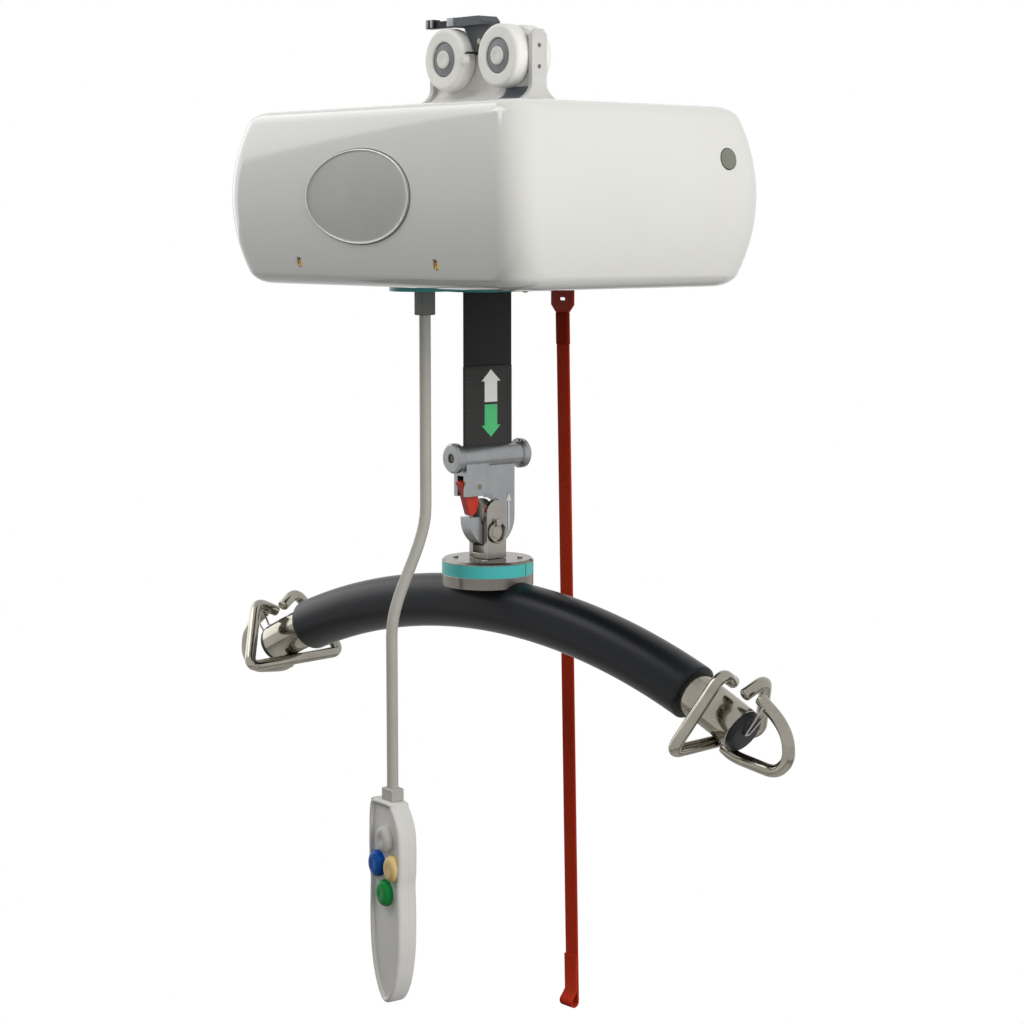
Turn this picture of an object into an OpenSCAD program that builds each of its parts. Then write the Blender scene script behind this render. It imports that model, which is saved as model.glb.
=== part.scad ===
// Ceiling track hoist: trolley, casing, lift strap, hook, swivel, spreader bar, handset and pull strap.
// Lengths are in millimetres. The origin is the middle of the four trolley wheels, at axle height.
// X runs along the track, Z is up and the badge faces -Y.

/* [Trolley] */
// Diameter of a trolley wheel
wheel_d = 49; // [46:0.5:52]
// Width of a trolley wheel
wheel_w = 14; // [12:0.5:16]
// Distance between the two axles along the track
wheelbase = 65.5; // [63:0.5:72]
// Gap between the two wheels of one axle
wheel_gap = 8; // [7:0.5:10]
// Outside diameter of a wheel bearing
bearing_d = 26; // [22:0.5:30]
// Diameter of an axle
axle_d = 10; // [8:0.5:12]
// Diameter of an axle's head
axle_head_d = 13; // [12.5:0.5:18]
// Length of the trolley over its end plates
trolley_l = 124; // [120:1:140]
// Thickness of an end plate
end_plate_t = 4; // [3:0.5:5]
// Width of an end plate beside the wheels
end_plate_w = 15; // [13:0.5:18]
// Height of an end plate above the axles
end_plate_rise = 19.5; // [16:0.5:22]
// Width of the trolley's foot on the casing
foot_w = 100; // [84:1:112]
// Height of the foot's curved flare over the lowest point of the wheels
flare_over = 2.5; // [1:0.5:3]
// Distance from the axles down to the casing
axle_height = 40; // [39:0.5:45]
// Diameter of the two accessory holes in an end plate
plate_hole_d = 3.4; // [2.8:0.1:4.2]
// Distance between the two accessory holes
plate_hole_pitch = 16; // [13:0.5:18]

/* [Casing] */
// Length of the casing along the track
casing_l = 368; // [360:1:400]
// Width of the casing across the track
casing_w = 260; // [254:1:290]
// Height of the casing
casing_h = 137; // [134:1:150]
// Wall of the casing
casing_wall = 3; // [2.5:0.1:3.6]
// Radius of the outward bulge of the sides
bulge_r = 178; // [160:1:300]
// Rounding of the top and bottom edges
edge_r = 15; // [10:0.5:17]
// Rounding of the upright corners
corner_r = 26; // [22:1:40]
// Height of the joint between cover and base above the bottom
seam_rise = 7; // [6:0.5:9]
// Length of the oval badge
badge_l = 130; // [90:1:150]
// Height of the oval badge
badge_h = 72; // [50:1:80]
// Thickness of the badge
badge_t = 1.2; // [0.8:0.1:2]
// Distance between the two screws of a long side
screw_pitch = 170; // [156:1:190]
// Height of the cover screws above the casing's bottom
screw_rise = 17.7; // [17:0.1:21]
// Diameter of a cover screw's head
screw_head_d = 7; // [6:0.5:8]
// Diameter of the round status lens
lens_d = 17; // [12:0.5:20]
// Distance of the status lens from the side of the casing
lens_inset = 45; // [40:1:70]
// Distance from the exit plate's ends to the sides of the casing
exit_plate_margin = 38; // [33:1:39]
// Width of the exit plate
exit_plate_w = 52; // [50:1:60]
// Thickness of the exit plate
exit_plate_t = 4; // [3:0.5:5]

/* [Drive] */
// Thickness of the frame plates inside
frame_t = 4; // [3:0.5:5]
// Inside width between the two upright frame plates
frame_gap = 64; // [62:1:68]
// Outside radius of the wound strap
coil_r = 40; // [34:0.5:42]
// Diameter of the drum's core
drum_core_d = 36; // [30:1:42]
// Diameter of the drum's shaft
shaft_d = 16; // [12:0.5:18]
// Diameter of the motor
motor_d = 52; // [40:1:54]
// Length of a battery pack across the casing
battery_l = 140; // [110:1:150]
// Height of a battery pack
battery_h = 70; // [55:1:80]

/* [Strap and hanger] */
// Width of the lift strap
strap_w = 50; // [46:0.5:51]
// Thickness of the lift strap
strap_t = 2.2; // [1.6:0.1:2.4]
// Distance from the exit plate down to the hanger bar
strap_out = 133; // [120:1:180]
// Length of the doubled sewn end of the strap
doubled_l = 72; // [60:1:76]
// Diameter of the hanger bar
bar_d = 19; // [18:0.5:21]
// Length of the hanger bar
bar_l = 76; // [74:1:84]
// Diameter of the collars at the ends of the hanger bar
collar_d = 24; // [22.5:0.5:28]
// Width of one collar
collar_w = 7; // [5:0.5:8]
// Distance from the hanger bar down to the fork pin
pin_drop = 61; // [58:0.5:66]
// Thickness of the hook plate
hook_t = 12; // [10:0.5:13]
// Width of the hook plate
hook_w = 47; // [45:0.5:50]
// Thickness of the latch housing on the hook plate
housing_t = 16; // [15:0.5:18]
// Thickness of the red latch
latch_t = 7; // [5:0.5:8]

/* [Swivel and spreader bar] */
// Diameter of the fork pin
fork_pin_d = 10; // [8:0.5:11]
// Thickness of one ear of the fork
ear_t = 4.4; // [4:0.2:6.4]
// Width of an ear of the fork
ear_w = 20; // [16:0.5:22]
// Height of an ear above the fork pin
ear_rise = 26; // [22:0.5:28]
// Distance from the fork pin down to the swivel disc
fork_drop = 21.5; // [20.5:0.5:26]
// Diameter of the swivel disc
disc_d = 74; // [66:1:84]
// Height of the swivel disc
disc_h = 21.5; // [20.5:0.5:25]
// Height of the teal band round the disc
band_h = 10; // [7:0.5:12]
// Thickness of the band
band_t = 0.8; // [0.6:0.1:1.2]
// Radius to which the spreader bar is bent
bend_r = 565; // [500:1:700]
// Outside diameter of the spreader tube
tube_d = 34; // [30:0.5:36]
// Wall of the spreader tube
tube_wall = 3; // [2:0.1:4]
// Outside diameter of the rubber sleeve
sleeve_d = 44; // [42:0.5:48]
// Half of the straight distance between the tube's ends
tube_reach = 262; // [254:1:310]
// Straight distance from a tube's end to the sleeve's end
tube_bare = 45; // [41:1:92]
// Diameter of the hook rods
rod_d = 9; // [7:0.5:10]
// Reach of a side hook from the tube's axis
side_reach = 53; // [48:1:62]
// Reach of an end hook beyond the tube's end
end_reach = 45; // [42:1:60]
// Diameter of the gate wires
gate_d = 1.8; // [1.4:0.1:2.2]
// Turn of the spreader bar from the track
spreader_turn = 5; // [0:1:12]

/* [Handset and cord] */
// Diameter of the handset's cord
cord_d = 9.2; // [7:0.1:10]
// Height of the cord's plug at the casing
plug_h = 19; // [15:0.5:24]
// Height of the handset
handset_l = 165; // [155:1:175]
// Width of the handset
handset_w = 46; // [43:0.5:52]
// Thickness of the handset
handset_t = 18; // [16:0.5:22]
// Height of the grip where the cord enters the handset
grip_h = 10; // [8:0.5:14]
// Width of a button
button_w = 17; // [13:0.5:18]
// Height of a button
button_h = 20; // [16:0.5:21]
// Height by which a button stands out
button_rise = 5; // [4:0.5:7]
// Turn of the handset away from the badge side
handset_turn = -5; // [-20:1:0]

/* [Pull strap] */
// Width of the red pull strap
pull_w = 15; // [12:0.5:18]
// Thickness of the pull strap
pull_t = 2; // [1.6:0.1:2.4]
// Width of the pull strap's moulded tab
pull_tab_w = 26; // [22:0.5:30]
// Length of the pull strap below the exit plate
pull_l = 610; // [500:5:660]
// Distance of the pull strap from the exit plate's end
pull_inset = 11; // [9:0.5:13]

/* [Hidden] */
// Number of straight sides in a full curve
$fn = 64;
// Running clearance of a turning fit, on the radius
run_gap = 0.05;
// Gap between pieces that move past each other
move_gap = 0.4;
// Gap beside a piece that slips into another
slip_gap = 0.15;
// Length by which a cut runs past the piece it cuts
over = 1;
// Depth to which a rod is sunk into the tube it is welded to
weld_sink = 0.15;

// Levels from the axles down
casing_top = -axle_height;
casing_bottom = casing_top - casing_h;
casing_mid = casing_top - casing_h / 2;
floor_z = casing_bottom + casing_wall;
roof_z = casing_top - casing_wall;
seam_z = casing_bottom + seam_rise;
plate_z = casing_bottom - exit_plate_t;
bar_z = plate_z - strap_out;
pin_z = bar_z - pin_drop;
disc_top = pin_z - fork_drop;
disc_bottom = disc_top - disc_h;
saddle_depth = 5.5;
crest_z = disc_bottom + saddle_depth - sleeve_d / 2;

// Trolley
web_t = wheel_gap - 2 * move_gap;
wheel_y = wheel_gap / 2;
wheel_recess = 1.3;
axle_head_t = 2.4;
end_x = trolley_l / 2;
frame_x = end_x - end_plate_t;
flare_h = axle_height - wheel_d / 2 + flare_over;
flare_z = -axle_height + flare_h;
web_top = 16;
skirt_end = 28;
liner_drop = 1.6;
foot_screw_r = 1.4;
foot_screw_head_r = 2.2;
foot_screw_head_t = 1.2;
foot_screw_l = 12;
foot_screw_y = 14;
foot_screw_rise = 2.4;
foot_screw_z = casing_top + foot_screw_rise;
frame_bolt_r = 2.5;
frame_bolt_head_r = 4.2;
frame_bolt_head_t = 4;
frame_bolt_x = 20;
frame_bolt_y = 7;
frame_bolt_depth = 3.4;
pickup_gap = 0.8;
pickup_z = wheel_d / 2 + pickup_gap;
pickup_h = 7;
pickup_left = -32;
pickup_right = 10;
pickup_front = -14;
pickup_back = 5;
pickup_arm_l = 27;
pickup_arm_w = 7;
pickup_shoe_l = 10;
pickup_recess = 1.5;
pickup_screw_z = 13;
pickup_screw_r = 2.4;
pickup_plate_t = 4;
plate_hole_mid = -1;

// Casing
half_l = casing_l / 2;
half_w = casing_w / 2;
fillet_height = casing_h / 2 - edge_r;
fillet_depth = bulge_r - sqrt(pow(bulge_r - edge_r, 2) - pow(fillet_height, 2));
bulge_angle = asin(fillet_height / (bulge_r - edge_r));
corner_share = 0.6;
edge_steps = 5;
bulge_steps = 10;
corner_steps = 6;
screw_z = casing_bottom + screw_rise;
screw_y = half_w - bulge_r + sqrt(pow(bulge_r, 2) - pow(casing_mid - screw_z, 2));
screw_sink = 1.4;
screw_head_t = 1.8;
screw_shank_r = 2;
boss_r = 7;
boss_depth = 5.6;
tab_t = 4;
tab_w = 16;
lens_rise = 28.2;
lens_offset = half_w - lens_inset;
lens_z = casing_mid + lens_rise;
lens_tilt = asin((lens_z - casing_mid) / bulge_r);
lens_x = half_l - bulge_r + sqrt(pow(bulge_r, 2) - pow(lens_z - casing_mid, 2));
lens_t = 4;
lens_proud = 1;
lamp_r = 2.6;
lamp_proud = 2;
exit_plate_l = casing_w - 2 * exit_plate_margin;
exit_pad_h = 1.5;
exit_pad_inset = 3;
exit_pad_margin = 7;
strap_slot_x = 7;
strap_slot_ease = 4;
strap_slot_y = strap_w + strap_slot_ease;
pad_z = plate_z - exit_pad_h;
pad_reach = strap_slot_y / 2 + exit_pad_margin;
lamp_beside = 13;
lamp_y = strap_slot_y / 2 + lamp_beside;

// Drive inside the casing
frame_y = frame_gap / 2;
frame_left = -70;
frame_right = 90;
drum_x = strap_t / 2 + move_gap + coil_r;
drum_rise = 2.5;
drum_z = casing_mid + drum_rise;
drum_flange_t = 2;
drum_flange_lip = 4;
drum_flange_r = coil_r + drum_flange_lip;
drum_bearing_wall = 6;
drum_bearing_r = shaft_d / 2 + drum_bearing_wall;
gearbox_l = 70;
gearbox_w = 56;
gearbox_h = 70;
gearbox_left = drum_x - gearbox_l / 2;
shaft_into_gearbox = 24;
shaft_beyond = 4;
motor_l = 76;
motor_drop = 8;
motor_z = drum_z - motor_drop;
motor_cap_l = 8;
motor_cap_d = motor_d - motor_cap_l;
battery_w = 46;
battery_x = 98;
board_x = -80;
board_t = 1.6;
board_w = 100;
board_h = 96;
chip_t = 14;
chip_w = 30;
chip_h = 26;

// Strap end and hanger
doubled_t = 2 * strap_t;
seam_strap_z = bar_z + doubled_l;
bar_bore_r = 6.6;
strap_eye_r = bar_bore_r - move_gap;
strap_pin_r = 3;
collar_edge = 1.6;
hanger_screw_r = 4;
hanger_screw_depth = 2.5;
hook_back = hook_w / 2;
bowl_r = 13;
bowl_rise = 14;
seat_r = fork_pin_d / 2 + run_gap;
hook_round_rise = 11;
mouth_top_rise = 30;
mouth_bottom_rise = 13;
latch_rise = 37.3;
hook_round_z = pin_z + hook_round_rise;
mouth_top = pin_z + mouth_top_rise;
mouth_bottom = pin_z + mouth_bottom_rise;
latch_y = -15;
latch_z = pin_z + latch_rise;
latch_reach = 24;
latch_pin_r = 2;
latch_boss_r = 4.6;
housing_right = -5;
housing_out = 5;
latch_slot_t = latch_t + 2 * move_gap;

// Fork and disc
ear_in = hook_t / 2 + 2 * move_gap;
ear_out = ear_in + ear_t;
fork_base_t = 4;
fork_lift = move_gap;
stem_r = 8;
nut_r = 11.5;
nut_h = 6;
stem_l = disc_h - saddle_depth - move_gap;
post_r = 16;
cavity_r = 13;
pin_end = 0.3;
ring_r = 8.1;
ring_wire_r = 0.9;
lug_t = 3.2;
lug_w = 5;
disc_edge = 1.6;
band_drop = 2.4;
band_slit = 1;
band_slit_turn = 10;
disc_screw_r = 2.2;
disc_screw_head_t = 1.4;
disc_screw_at = 26;
disc_screw_l = 5;

// Spreader bar
tube_r = tube_d / 2;
sleeve_r = sleeve_d / 2;
rod_r = rod_d / 2;
sleeve_reach = tube_reach - tube_bare;
end_angle = asin(tube_reach / bend_r);
sleeve_angle = asin(sleeve_reach / bend_r);
cap_inset = 0.5;
side_inset = 14;
side_angle = asin((tube_reach - side_inset) / bend_r);
over_angle = 1;
cap_t = 5;
cap_r = tube_r - cap_inset;
cap_edge = 2;
spigot_l = 8;
rod_sides = 10;
bend_steps = 4;
rod_drop = tube_r + rod_r - weld_sink;
side_lean = 8;
gate_r = gate_d / 2;
gate_gap = 0.3;
gate_half = rod_r + gate_r + gate_gap;
gate_foot_half = 2.6;
gate_sink = 2.4;
gate_bend = 1.4;
gate_sides = 8;
gate_u = cap_t + gate_r + gate_gap;

// Hook rods: points before bending, as [outward, across, up] from the tube's axis
side_top = 37;
side_top_in = 17;
side_tip = 26.5;
side_tip_over = 2;
side_bend = 11;
side_rod = [
    [-side_lean, side_tip_over, side_tip],
    [-side_lean, -side_top_in, side_top],
    [0, -side_reach, -rod_drop],
    [0, side_reach, -rod_drop],
    [side_lean, side_top_in, side_top],
    [side_lean, -side_tip_over, side_tip]
];
end_shares = [[0.10, -1], [0.92, -0.42], [1.04, 0.3], [0.84, 0.95], [0.56, 1.28]];
end_bend = 9;
end_start = -6.6;
end_tip_u = 4;
end_tip_w = 31;
end_rod = concat(
    [[end_start, 0, -rod_drop]],
    [for (p = end_shares) [p[0] * end_reach, 0, p[1] * rod_drop]],
    [[end_tip_u, 0, end_tip_w]]
);
hinge_share = 0.62;
hinge = (1 - hinge_share) * end_rod[5] + hinge_share * end_rod[6];

// Handset, its cord and their route from the plug down
plug_x = -5;
plug_y = -60;
plug_wide = 10;
plug_deep = 14;
handset_x = -10;
handset_y = -91;
handset_drop = 403;
handset_top = plate_z - handset_drop;
grip_top = handset_top + grip_h;
grip_wide = 15;
grip_deep = 12;
plug_bottom = plate_z - plug_h;
cord_straight = 170;
cord_eased = 100;
cord_bend_top = plate_z - cord_straight;
cord_bend_low = cord_bend_top - cord_eased;
cord_steps = 8;
cord_sides = 12;
handset_wall = 2.4;
handset_ledge = 1;
half_handset = handset_t / 2;
sloped_shoulder = [[0.00, 0.36], [0.02, 0.50], [0.045, 0.64], [0.08, 0.79], [0.12, 0.91], [0.16, 0.97]];
square_shoulder = [[0.00, 0.72], [0.01, 0.84], [0.03, 0.91], [0.07, 0.96], [0.13, 0.985]];
lower_shares = [
    [0.22, 1.00], [0.33, 0.99], [0.40, 0.93], [0.47, 0.95], [0.58, 0.97], [0.70, 0.94], [0.80, 0.84],
    [0.88, 0.69], [0.94, 0.50], [0.98, 0.30], [1.00, 0.10]
];
button_mid_share = 0.32;
button_side = 11;
button_up = 22;
button_stem = 3;
button_free = 2.8;
dome_shares = [[1, 0, 0.4], [0.93, 0.4, 0.72], [0.78, 0.72, 1]];

// Pull strap
pull_y = exit_plate_l / 2 - pull_inset;
pull_rise = 27;
pull_top = casing_bottom + pull_rise;
pull_bar_ends = 10;
pull_bar_w = pull_tab_w + pull_bar_ends;
pull_bar_h = 8;
pull_bar_t = 5;
pull_tab_t = 3;
pull_tab_l = 20;
pull_slot_w = 8;
pull_slot_h = 2.4;
pull_neck = 6;
pull_lean_x = 3;
pull_lean_y = 11;
pull_loop_r = 5;
pull_loop_wall = 1.8;
pull_sewn_l = 46;
pull_slot_gap = 0.6;

// Smooth steps and vectors
function unit(v) = v / norm(v);
function ease(t) = t * t * (3 - 2 * t);
function oval(rx, ry) = [for (a = [0:10:350]) [rx * cos(a), ry * sin(a)]];

// Faces of a body made of rings of points, each ring with the same number of points
function ring_faces(rings, sides) = concat(
    [[for (k = [0:sides - 1]) k]],
    [[for (k = [sides - 1:-1:0]) (rings - 1) * sides + k]],
    [for (i = [0:rings - 2]) for (k = [0:sides - 1]) let (next = (k + 1) % sides)
        [i * sides + k, (i + 1) * sides + k, (i + 1) * sides + next]],
    [for (i = [0:rings - 2]) for (k = [0:sides - 1]) let (next = (k + 1) % sides)
        [i * sides + k, (i + 1) * sides + next, i * sides + next]]
);

// A path with each inner corner rounded off
function bent(p, cut, steps) = concat(
    [p[0]],
    [for (i = [1:len(p) - 2])
        let (back = min(cut, 0.45 * norm(p[i - 1] - p[i])))
        let (ahead = min(cut, 0.45 * norm(p[i + 1] - p[i])))
        let (a = p[i] + back * unit(p[i - 1] - p[i]))
        let (b = p[i] + ahead * unit(p[i + 1] - p[i]))
        for (j = [0:steps])
            let (t = j / steps)
            (1 - t) * (1 - t) * a + 2 * t * (1 - t) * p[i] + t * t * b],
    [p[len(p) - 1]]
);
function tangents(p) = [for (i = [0:len(p) - 1]) unit(p[min(i + 1, len(p) - 1)] - p[max(i - 1, 0)])];
function square_to(v, t) = unit(v - (v * t) * t);
function carried(t, first) = [
    for (i = 0, s = square_to(first, t[0]); i < len(t); i = i + 1, s = square_to(s, t[min(i, len(t) - 1)])) s
];

// A round rod along a path
module rod(p, r, sides, first) {
    t = tangents(p);
    s = carried(t, first);
    points = [for (i = [0:len(p) - 1]) for (k = [0:sides - 1])
        p[i] + r * (cos(360 * k / sides) * s[i] + sin(360 * k / sides) * cross(t[i], s[i]))];
    polyhedron(points, ring_faces(len(p), sides), convexity = 6);
}

// A flat shape in Y and Z given thickness along X, centred
module along_x(t) {
    rotate([90, 0, 90]) translate([0, 0, -t / 2]) linear_extrude(t) children();
}

// A flat shape in X and Z given thickness along Y between two levels
module along_y(from, to) {
    translate([0, to, 0]) rotate([90, 0, 0]) linear_extrude(to - from) children();
}

// A round bar along Y between two levels
module bar_y(r, from, to) {
    translate([0, to, 0]) rotate([90, 0, 0]) cylinder(r = r, h = to - from);
}

// A round bar along X, centred
module bar_x(r, l) {
    rotate([0, 90, 0]) cylinder(r = r, h = l, center = true);
}

// A block between two corners
module block(a, b) {
    translate(a) cube(b - a);
}

// Casing body, with its skin moved inward by a distance
function wall_line(inward) = concat(
    [for (i = [0:edge_steps - 1]) let (a = -90 + (90 - bulge_angle) * i / edge_steps)
        [fillet_depth - (edge_r - inward) * cos(a), -fillet_height + (edge_r - inward) * sin(a)]],
    [for (i = [0:bulge_steps]) let (a = -bulge_angle + 2 * bulge_angle * i / bulge_steps)
        [bulge_r - (bulge_r - inward) * cos(a), (bulge_r - inward) * sin(a)]],
    [for (i = [1:edge_steps]) let (a = bulge_angle + (90 - bulge_angle) * i / edge_steps)
        [fillet_depth - (edge_r - inward) * cos(a), fillet_height + (edge_r - inward) * sin(a)]]
);
function wall_ring(inset, z) = let (rc = corner_r - corner_share * inset)
    let (hl = half_l - inset - rc, hw = half_w - inset - rc)
    [for (q = [0:3]) for (k = [0:corner_steps]) let (a = 90 * q + 90 * k / corner_steps)
        [(q == 0 || q == 3 ? hl : -hl) + rc * cos(a), (q < 2 ? hw : -hw) + rc * sin(a), z]];
module casing_body(inward) {
    line = wall_line(inward);
    points = [for (p = line) each wall_ring(p[0], casing_mid + p[1])];
    polyhedron(points, ring_faces(len(line), 4 * (corner_steps + 1)), convexity = 4);
}
module casing_skin() {
    difference() {
        casing_body(0);
        casing_body(casing_wall);
    }
}

// Places of the four cover screws: children face outward along -Y
module at_cover_screws() {
    for (turn = [0, 180])
        for (x = [-screw_pitch / 2, screw_pitch / 2])
            rotate([0, 0, turn]) translate([x, -screw_y, screw_z]) children();
}

// Places of the bolts between trolley and frame
module at_frame_bolts() {
    for (x = [-frame_bolt_x, frame_bolt_x])
        for (y = [-frame_bolt_y, frame_bolt_y])
            translate([x, y, 0]) children();
}

// Places of the four foot screws: children point along X into the foot
module at_foot_screws() {
    for (turn = [0, 180])
        for (y = [-foot_screw_y, foot_screw_y])
            rotate([0, 0, turn]) translate([end_x, y, foot_screw_z]) rotate([0, -90, 0]) children();
}

// Place of the status lens: children lie along the way it faces
module at_lens() {
    translate([lens_x, lens_offset, lens_z]) rotate([0, -lens_tilt, 0]) children();
}

// Cover of the casing: roof and sides
module casing_cover() {
    color("whitesmoke") difference() {
        union() {
            intersection() {
                casing_skin();
                block([-casing_l, -casing_w, seam_z], [casing_l, casing_w, casing_top + over]);
            }
            intersection() {
                casing_body(casing_wall / 2);
                at_cover_screws() bar_y(boss_r, -over, boss_depth);
            }
        }
        at_cover_screws() bar_y(screw_head_d / 2 + move_gap, -4 * over, screw_sink + screw_head_t);
        at_cover_screws() bar_y(screw_shank_r + slip_gap, -over, boss_depth + over);
        at_lens() bar_x(lens_d / 2 + slip_gap, 4 * lens_t);
        at_frame_bolts() translate([0, 0, roof_z - over])
            cylinder(r = frame_bolt_r + slip_gap, h = casing_wall + 2 * over);
    }
}

// Tabs behind the cover screws, up to a height over them and kept inside the skin
module screw_tabs(inward, top) {
    intersection() {
        casing_body(inward);
        at_cover_screws() block([-tab_w / 2, boss_depth, -screw_rise], [tab_w / 2, boss_depth + tab_t, top]);
    }
}

// Base of the casing: floor with four tabs for the cover screws
module casing_base() {
    color("gainsboro") difference() {
        union() {
            intersection() {
                casing_skin();
                block([-casing_l, -casing_w, casing_bottom - over], [casing_l, casing_w, seam_z]);
            }
            screw_tabs(casing_wall / 2, -screw_rise + seam_rise);
            screw_tabs(casing_wall + slip_gap, boss_r);
        }
        at_cover_screws() bar_y(screw_shank_r, boss_depth - over, boss_depth + tab_t + over);
        strap_opening(casing_bottom - over, floor_z + over);
        pull_opening(casing_bottom - over, floor_z + over);
    }
}

// Opening for the lift strap between two levels
module strap_opening(low, high) {
    block([-strap_slot_x / 2, -strap_slot_y / 2, low], [strap_slot_x / 2, strap_slot_y / 2, high]);
}

// Opening for the pull strap's tab between two levels
module pull_opening(low, high) {
    w = pull_tab_w / 2 + pull_slot_gap;
    t = pull_tab_t / 2 + pull_slot_gap;
    block([-w, pull_y - t, low], [w, pull_y + t, high]);
}

// Outline of the exit plate with round ends, pulled in by a distance, from its +Y end as far as a reach to -Y
module exit_outline(inset, reach) {
    r = exit_plate_w / 2 - inset;
    far = exit_plate_l / 2 - exit_plate_w / 2;
    near = r - reach;
    translate([-r, near]) square([2 * r, far - near]);
    translate([0, far]) circle(r);
    translate([0, near]) circle(r);
}

// Teal plate where the strap, the cord and the pull strap leave the casing, raised round both straps
module exit_plate() {
    color("teal") difference() {
        union() {
            translate([0, 0, plate_z]) linear_extrude(exit_plate_t) exit_outline(0, exit_plate_l / 2);
            translate([0, 0, pad_z]) linear_extrude(exit_pad_h) exit_outline(exit_pad_inset, pad_reach);
        }
        strap_opening(pad_z - over, casing_bottom + over);
        pull_opening(pad_z - over, casing_bottom + over);
    }
}

// Bare oval badge, bent to the bulge of the long side
module badge() {
    rim = 3;
    rim_rise = 0.6;
    color("silver") difference() {
        intersection() {
            translate([0, bulge_r - half_w, casing_mid]) difference() {
                bar_x(bulge_r + badge_t, badge_l + over);
                bar_x(bulge_r, badge_l + 2 * over);
            }
            translate([0, 0, casing_mid]) along_y(-casing_w, 0) polygon(oval(badge_l / 2, badge_h / 2));
        }
        difference() {
            translate([0, 0, casing_mid]) along_y(-casing_w, 0)
                polygon(oval(badge_l / 2 - rim, badge_h / 2 - rim));
            translate([0, bulge_r - half_w, casing_mid]) bar_x(bulge_r + badge_t - rim_rise, badge_l + over);
        }
    }
}

// Four screws that hold the cover to the base
module cover_screws() {
    color("peru") at_cover_screws() union() {
        bar_y(screw_head_d / 2, screw_sink, screw_sink + screw_head_t);
        bar_y(screw_shank_r, screw_sink + screw_head_t, boss_depth + tab_t);
    }
}

// Round status lens in the end of the casing and small lamp under the exit plate
module indicator_lamps() {
    color("darkkhaki") {
        at_lens() translate([lens_proud - lens_t / 2, 0, 0]) bar_x(lens_d / 2, lens_t);
        translate([0, lamp_y, pad_z - lamp_proud]) cylinder(r = lamp_r, h = lamp_proud);
    }
}

// Steel frame that hangs from the trolley and carries the drum and the gearbox
module chassis_frame() {
    color("lightsteelblue") difference() {
        union() {
            block(
                [frame_left, -frame_y - frame_t, roof_z - frame_t],
                [frame_right, frame_y + frame_t, roof_z]
            );
            for (y = [-frame_y - frame_t, frame_y])
                block([frame_left, y, floor_z], [frame_right, y + frame_t, roof_z]);
        }
        translate([drum_x, 0, drum_z]) bar_y(drum_bearing_r, -frame_gap, frame_gap);
        at_frame_bolts() translate([0, 0, roof_z - frame_t - over])
            cylinder(r = frame_bolt_r + slip_gap, h = frame_t + 2 * over);
    }
}

// Two bearings of the drum shaft in the frame
module drum_bearings() {
    color("silver") for (y = [-frame_y - frame_t, frame_y])
        translate([drum_x, 0, drum_z]) difference() {
            bar_y(drum_bearing_r, y, y + frame_t);
            bar_y(shaft_d / 2 + run_gap, y - over, y + frame_t + over);
        }
}

// Worm gearbox on the frame
module gearbox() {
    y = frame_y + frame_t;
    color("dimgray") difference() {
        translate([gearbox_left, y, drum_z - gearbox_h / 2]) cube([gearbox_l, gearbox_w, gearbox_h]);
        translate([drum_x, 0, drum_z]) bar_y(shaft_d / 2 + run_gap, y - over, y + shaft_into_gearbox + over);
    }
}

// Motor on the end of the gearbox
module motor() {
    y = frame_y + frame_t + gearbox_w / 2;
    color("slategray") translate([gearbox_left, y, motor_z]) rotate([0, -90, 0]) union() {
        cylinder(d = motor_d, h = motor_l - motor_cap_l);
        cylinder(d = motor_cap_d, h = motor_l);
    }
}

// Two battery packs on the floor
module battery_packs() {
    color("darkslategray") for (turn = [0, 180])
        rotate([0, 0, turn]) translate([battery_x, -battery_l / 2, floor_z])
            cube([battery_w, battery_l, battery_h]);
}

// Control board standing on the floor, with its large components
module control_board() {
    color("seagreen") union() {
        block([board_x, -board_w / 2, floor_z], [board_x + board_t, board_w / 2, floor_z + board_h]);
        for (y = [-chip_w - chip_t, chip_t])
            block([board_x - chip_t, y, floor_z + chip_h], [board_x, y + chip_w, floor_z + 2 * chip_h]);
    }
}

// Half of the foot's cross-section: the web and its concave flare to one side
module foot_half(drop) {
    rise = flare_h - drop;
    spread = foot_w / 2 - web_t / 2;
    polygon(concat(
        [[0, casing_top], [foot_w / 2, casing_top]],
        [for (a = [0:10:90]) [foot_w / 2 - spread * sin(a), casing_top + rise - rise * cos(a)]],
        [[web_t / 2, flare_z], [0, flare_z]]
    ));
}

// Light casting that carries the axles and spreads onto the casing
module trolley_frame() {
    color("gainsboro") difference() {
        union() {
            block([-frame_x, -web_t / 2, casing_top], [frame_x, web_t / 2, web_top]);
            for (turn = [0, 180])
                rotate([0, 0, turn]) translate([(skirt_end - frame_x) / 2, 0, 0])
                    along_x(frame_x + skirt_end) mirror([1, 0]) foot_half(0);
        }
        for (x = [-wheelbase / 2, wheelbase / 2])
            translate([x, 0, 0]) bar_y(axle_d / 2, -wheel_gap, wheel_gap);
        at_frame_bolts() translate([0, 0, casing_top - over])
            cylinder(r = frame_bolt_r, h = frame_bolt_depth + over);
        at_foot_screws() cylinder(r = foot_screw_r, h = foot_screw_l);
        translate([0, 0, pickup_screw_z]) bar_y(pickup_screw_r / 2, -wheel_gap, 0);
        accessory_holes();
    }
}

// Two accessory holes along X in each end of the trolley
module accessory_holes() {
    for (turn = [0, 180])
        for (z = [-plate_hole_pitch / 2, plate_hole_pitch / 2])
            rotate([0, 0, turn]) translate([end_x, 0, plate_hole_mid + z])
                bar_x(plate_hole_d / 2, 4 * end_plate_t);
}

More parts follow.
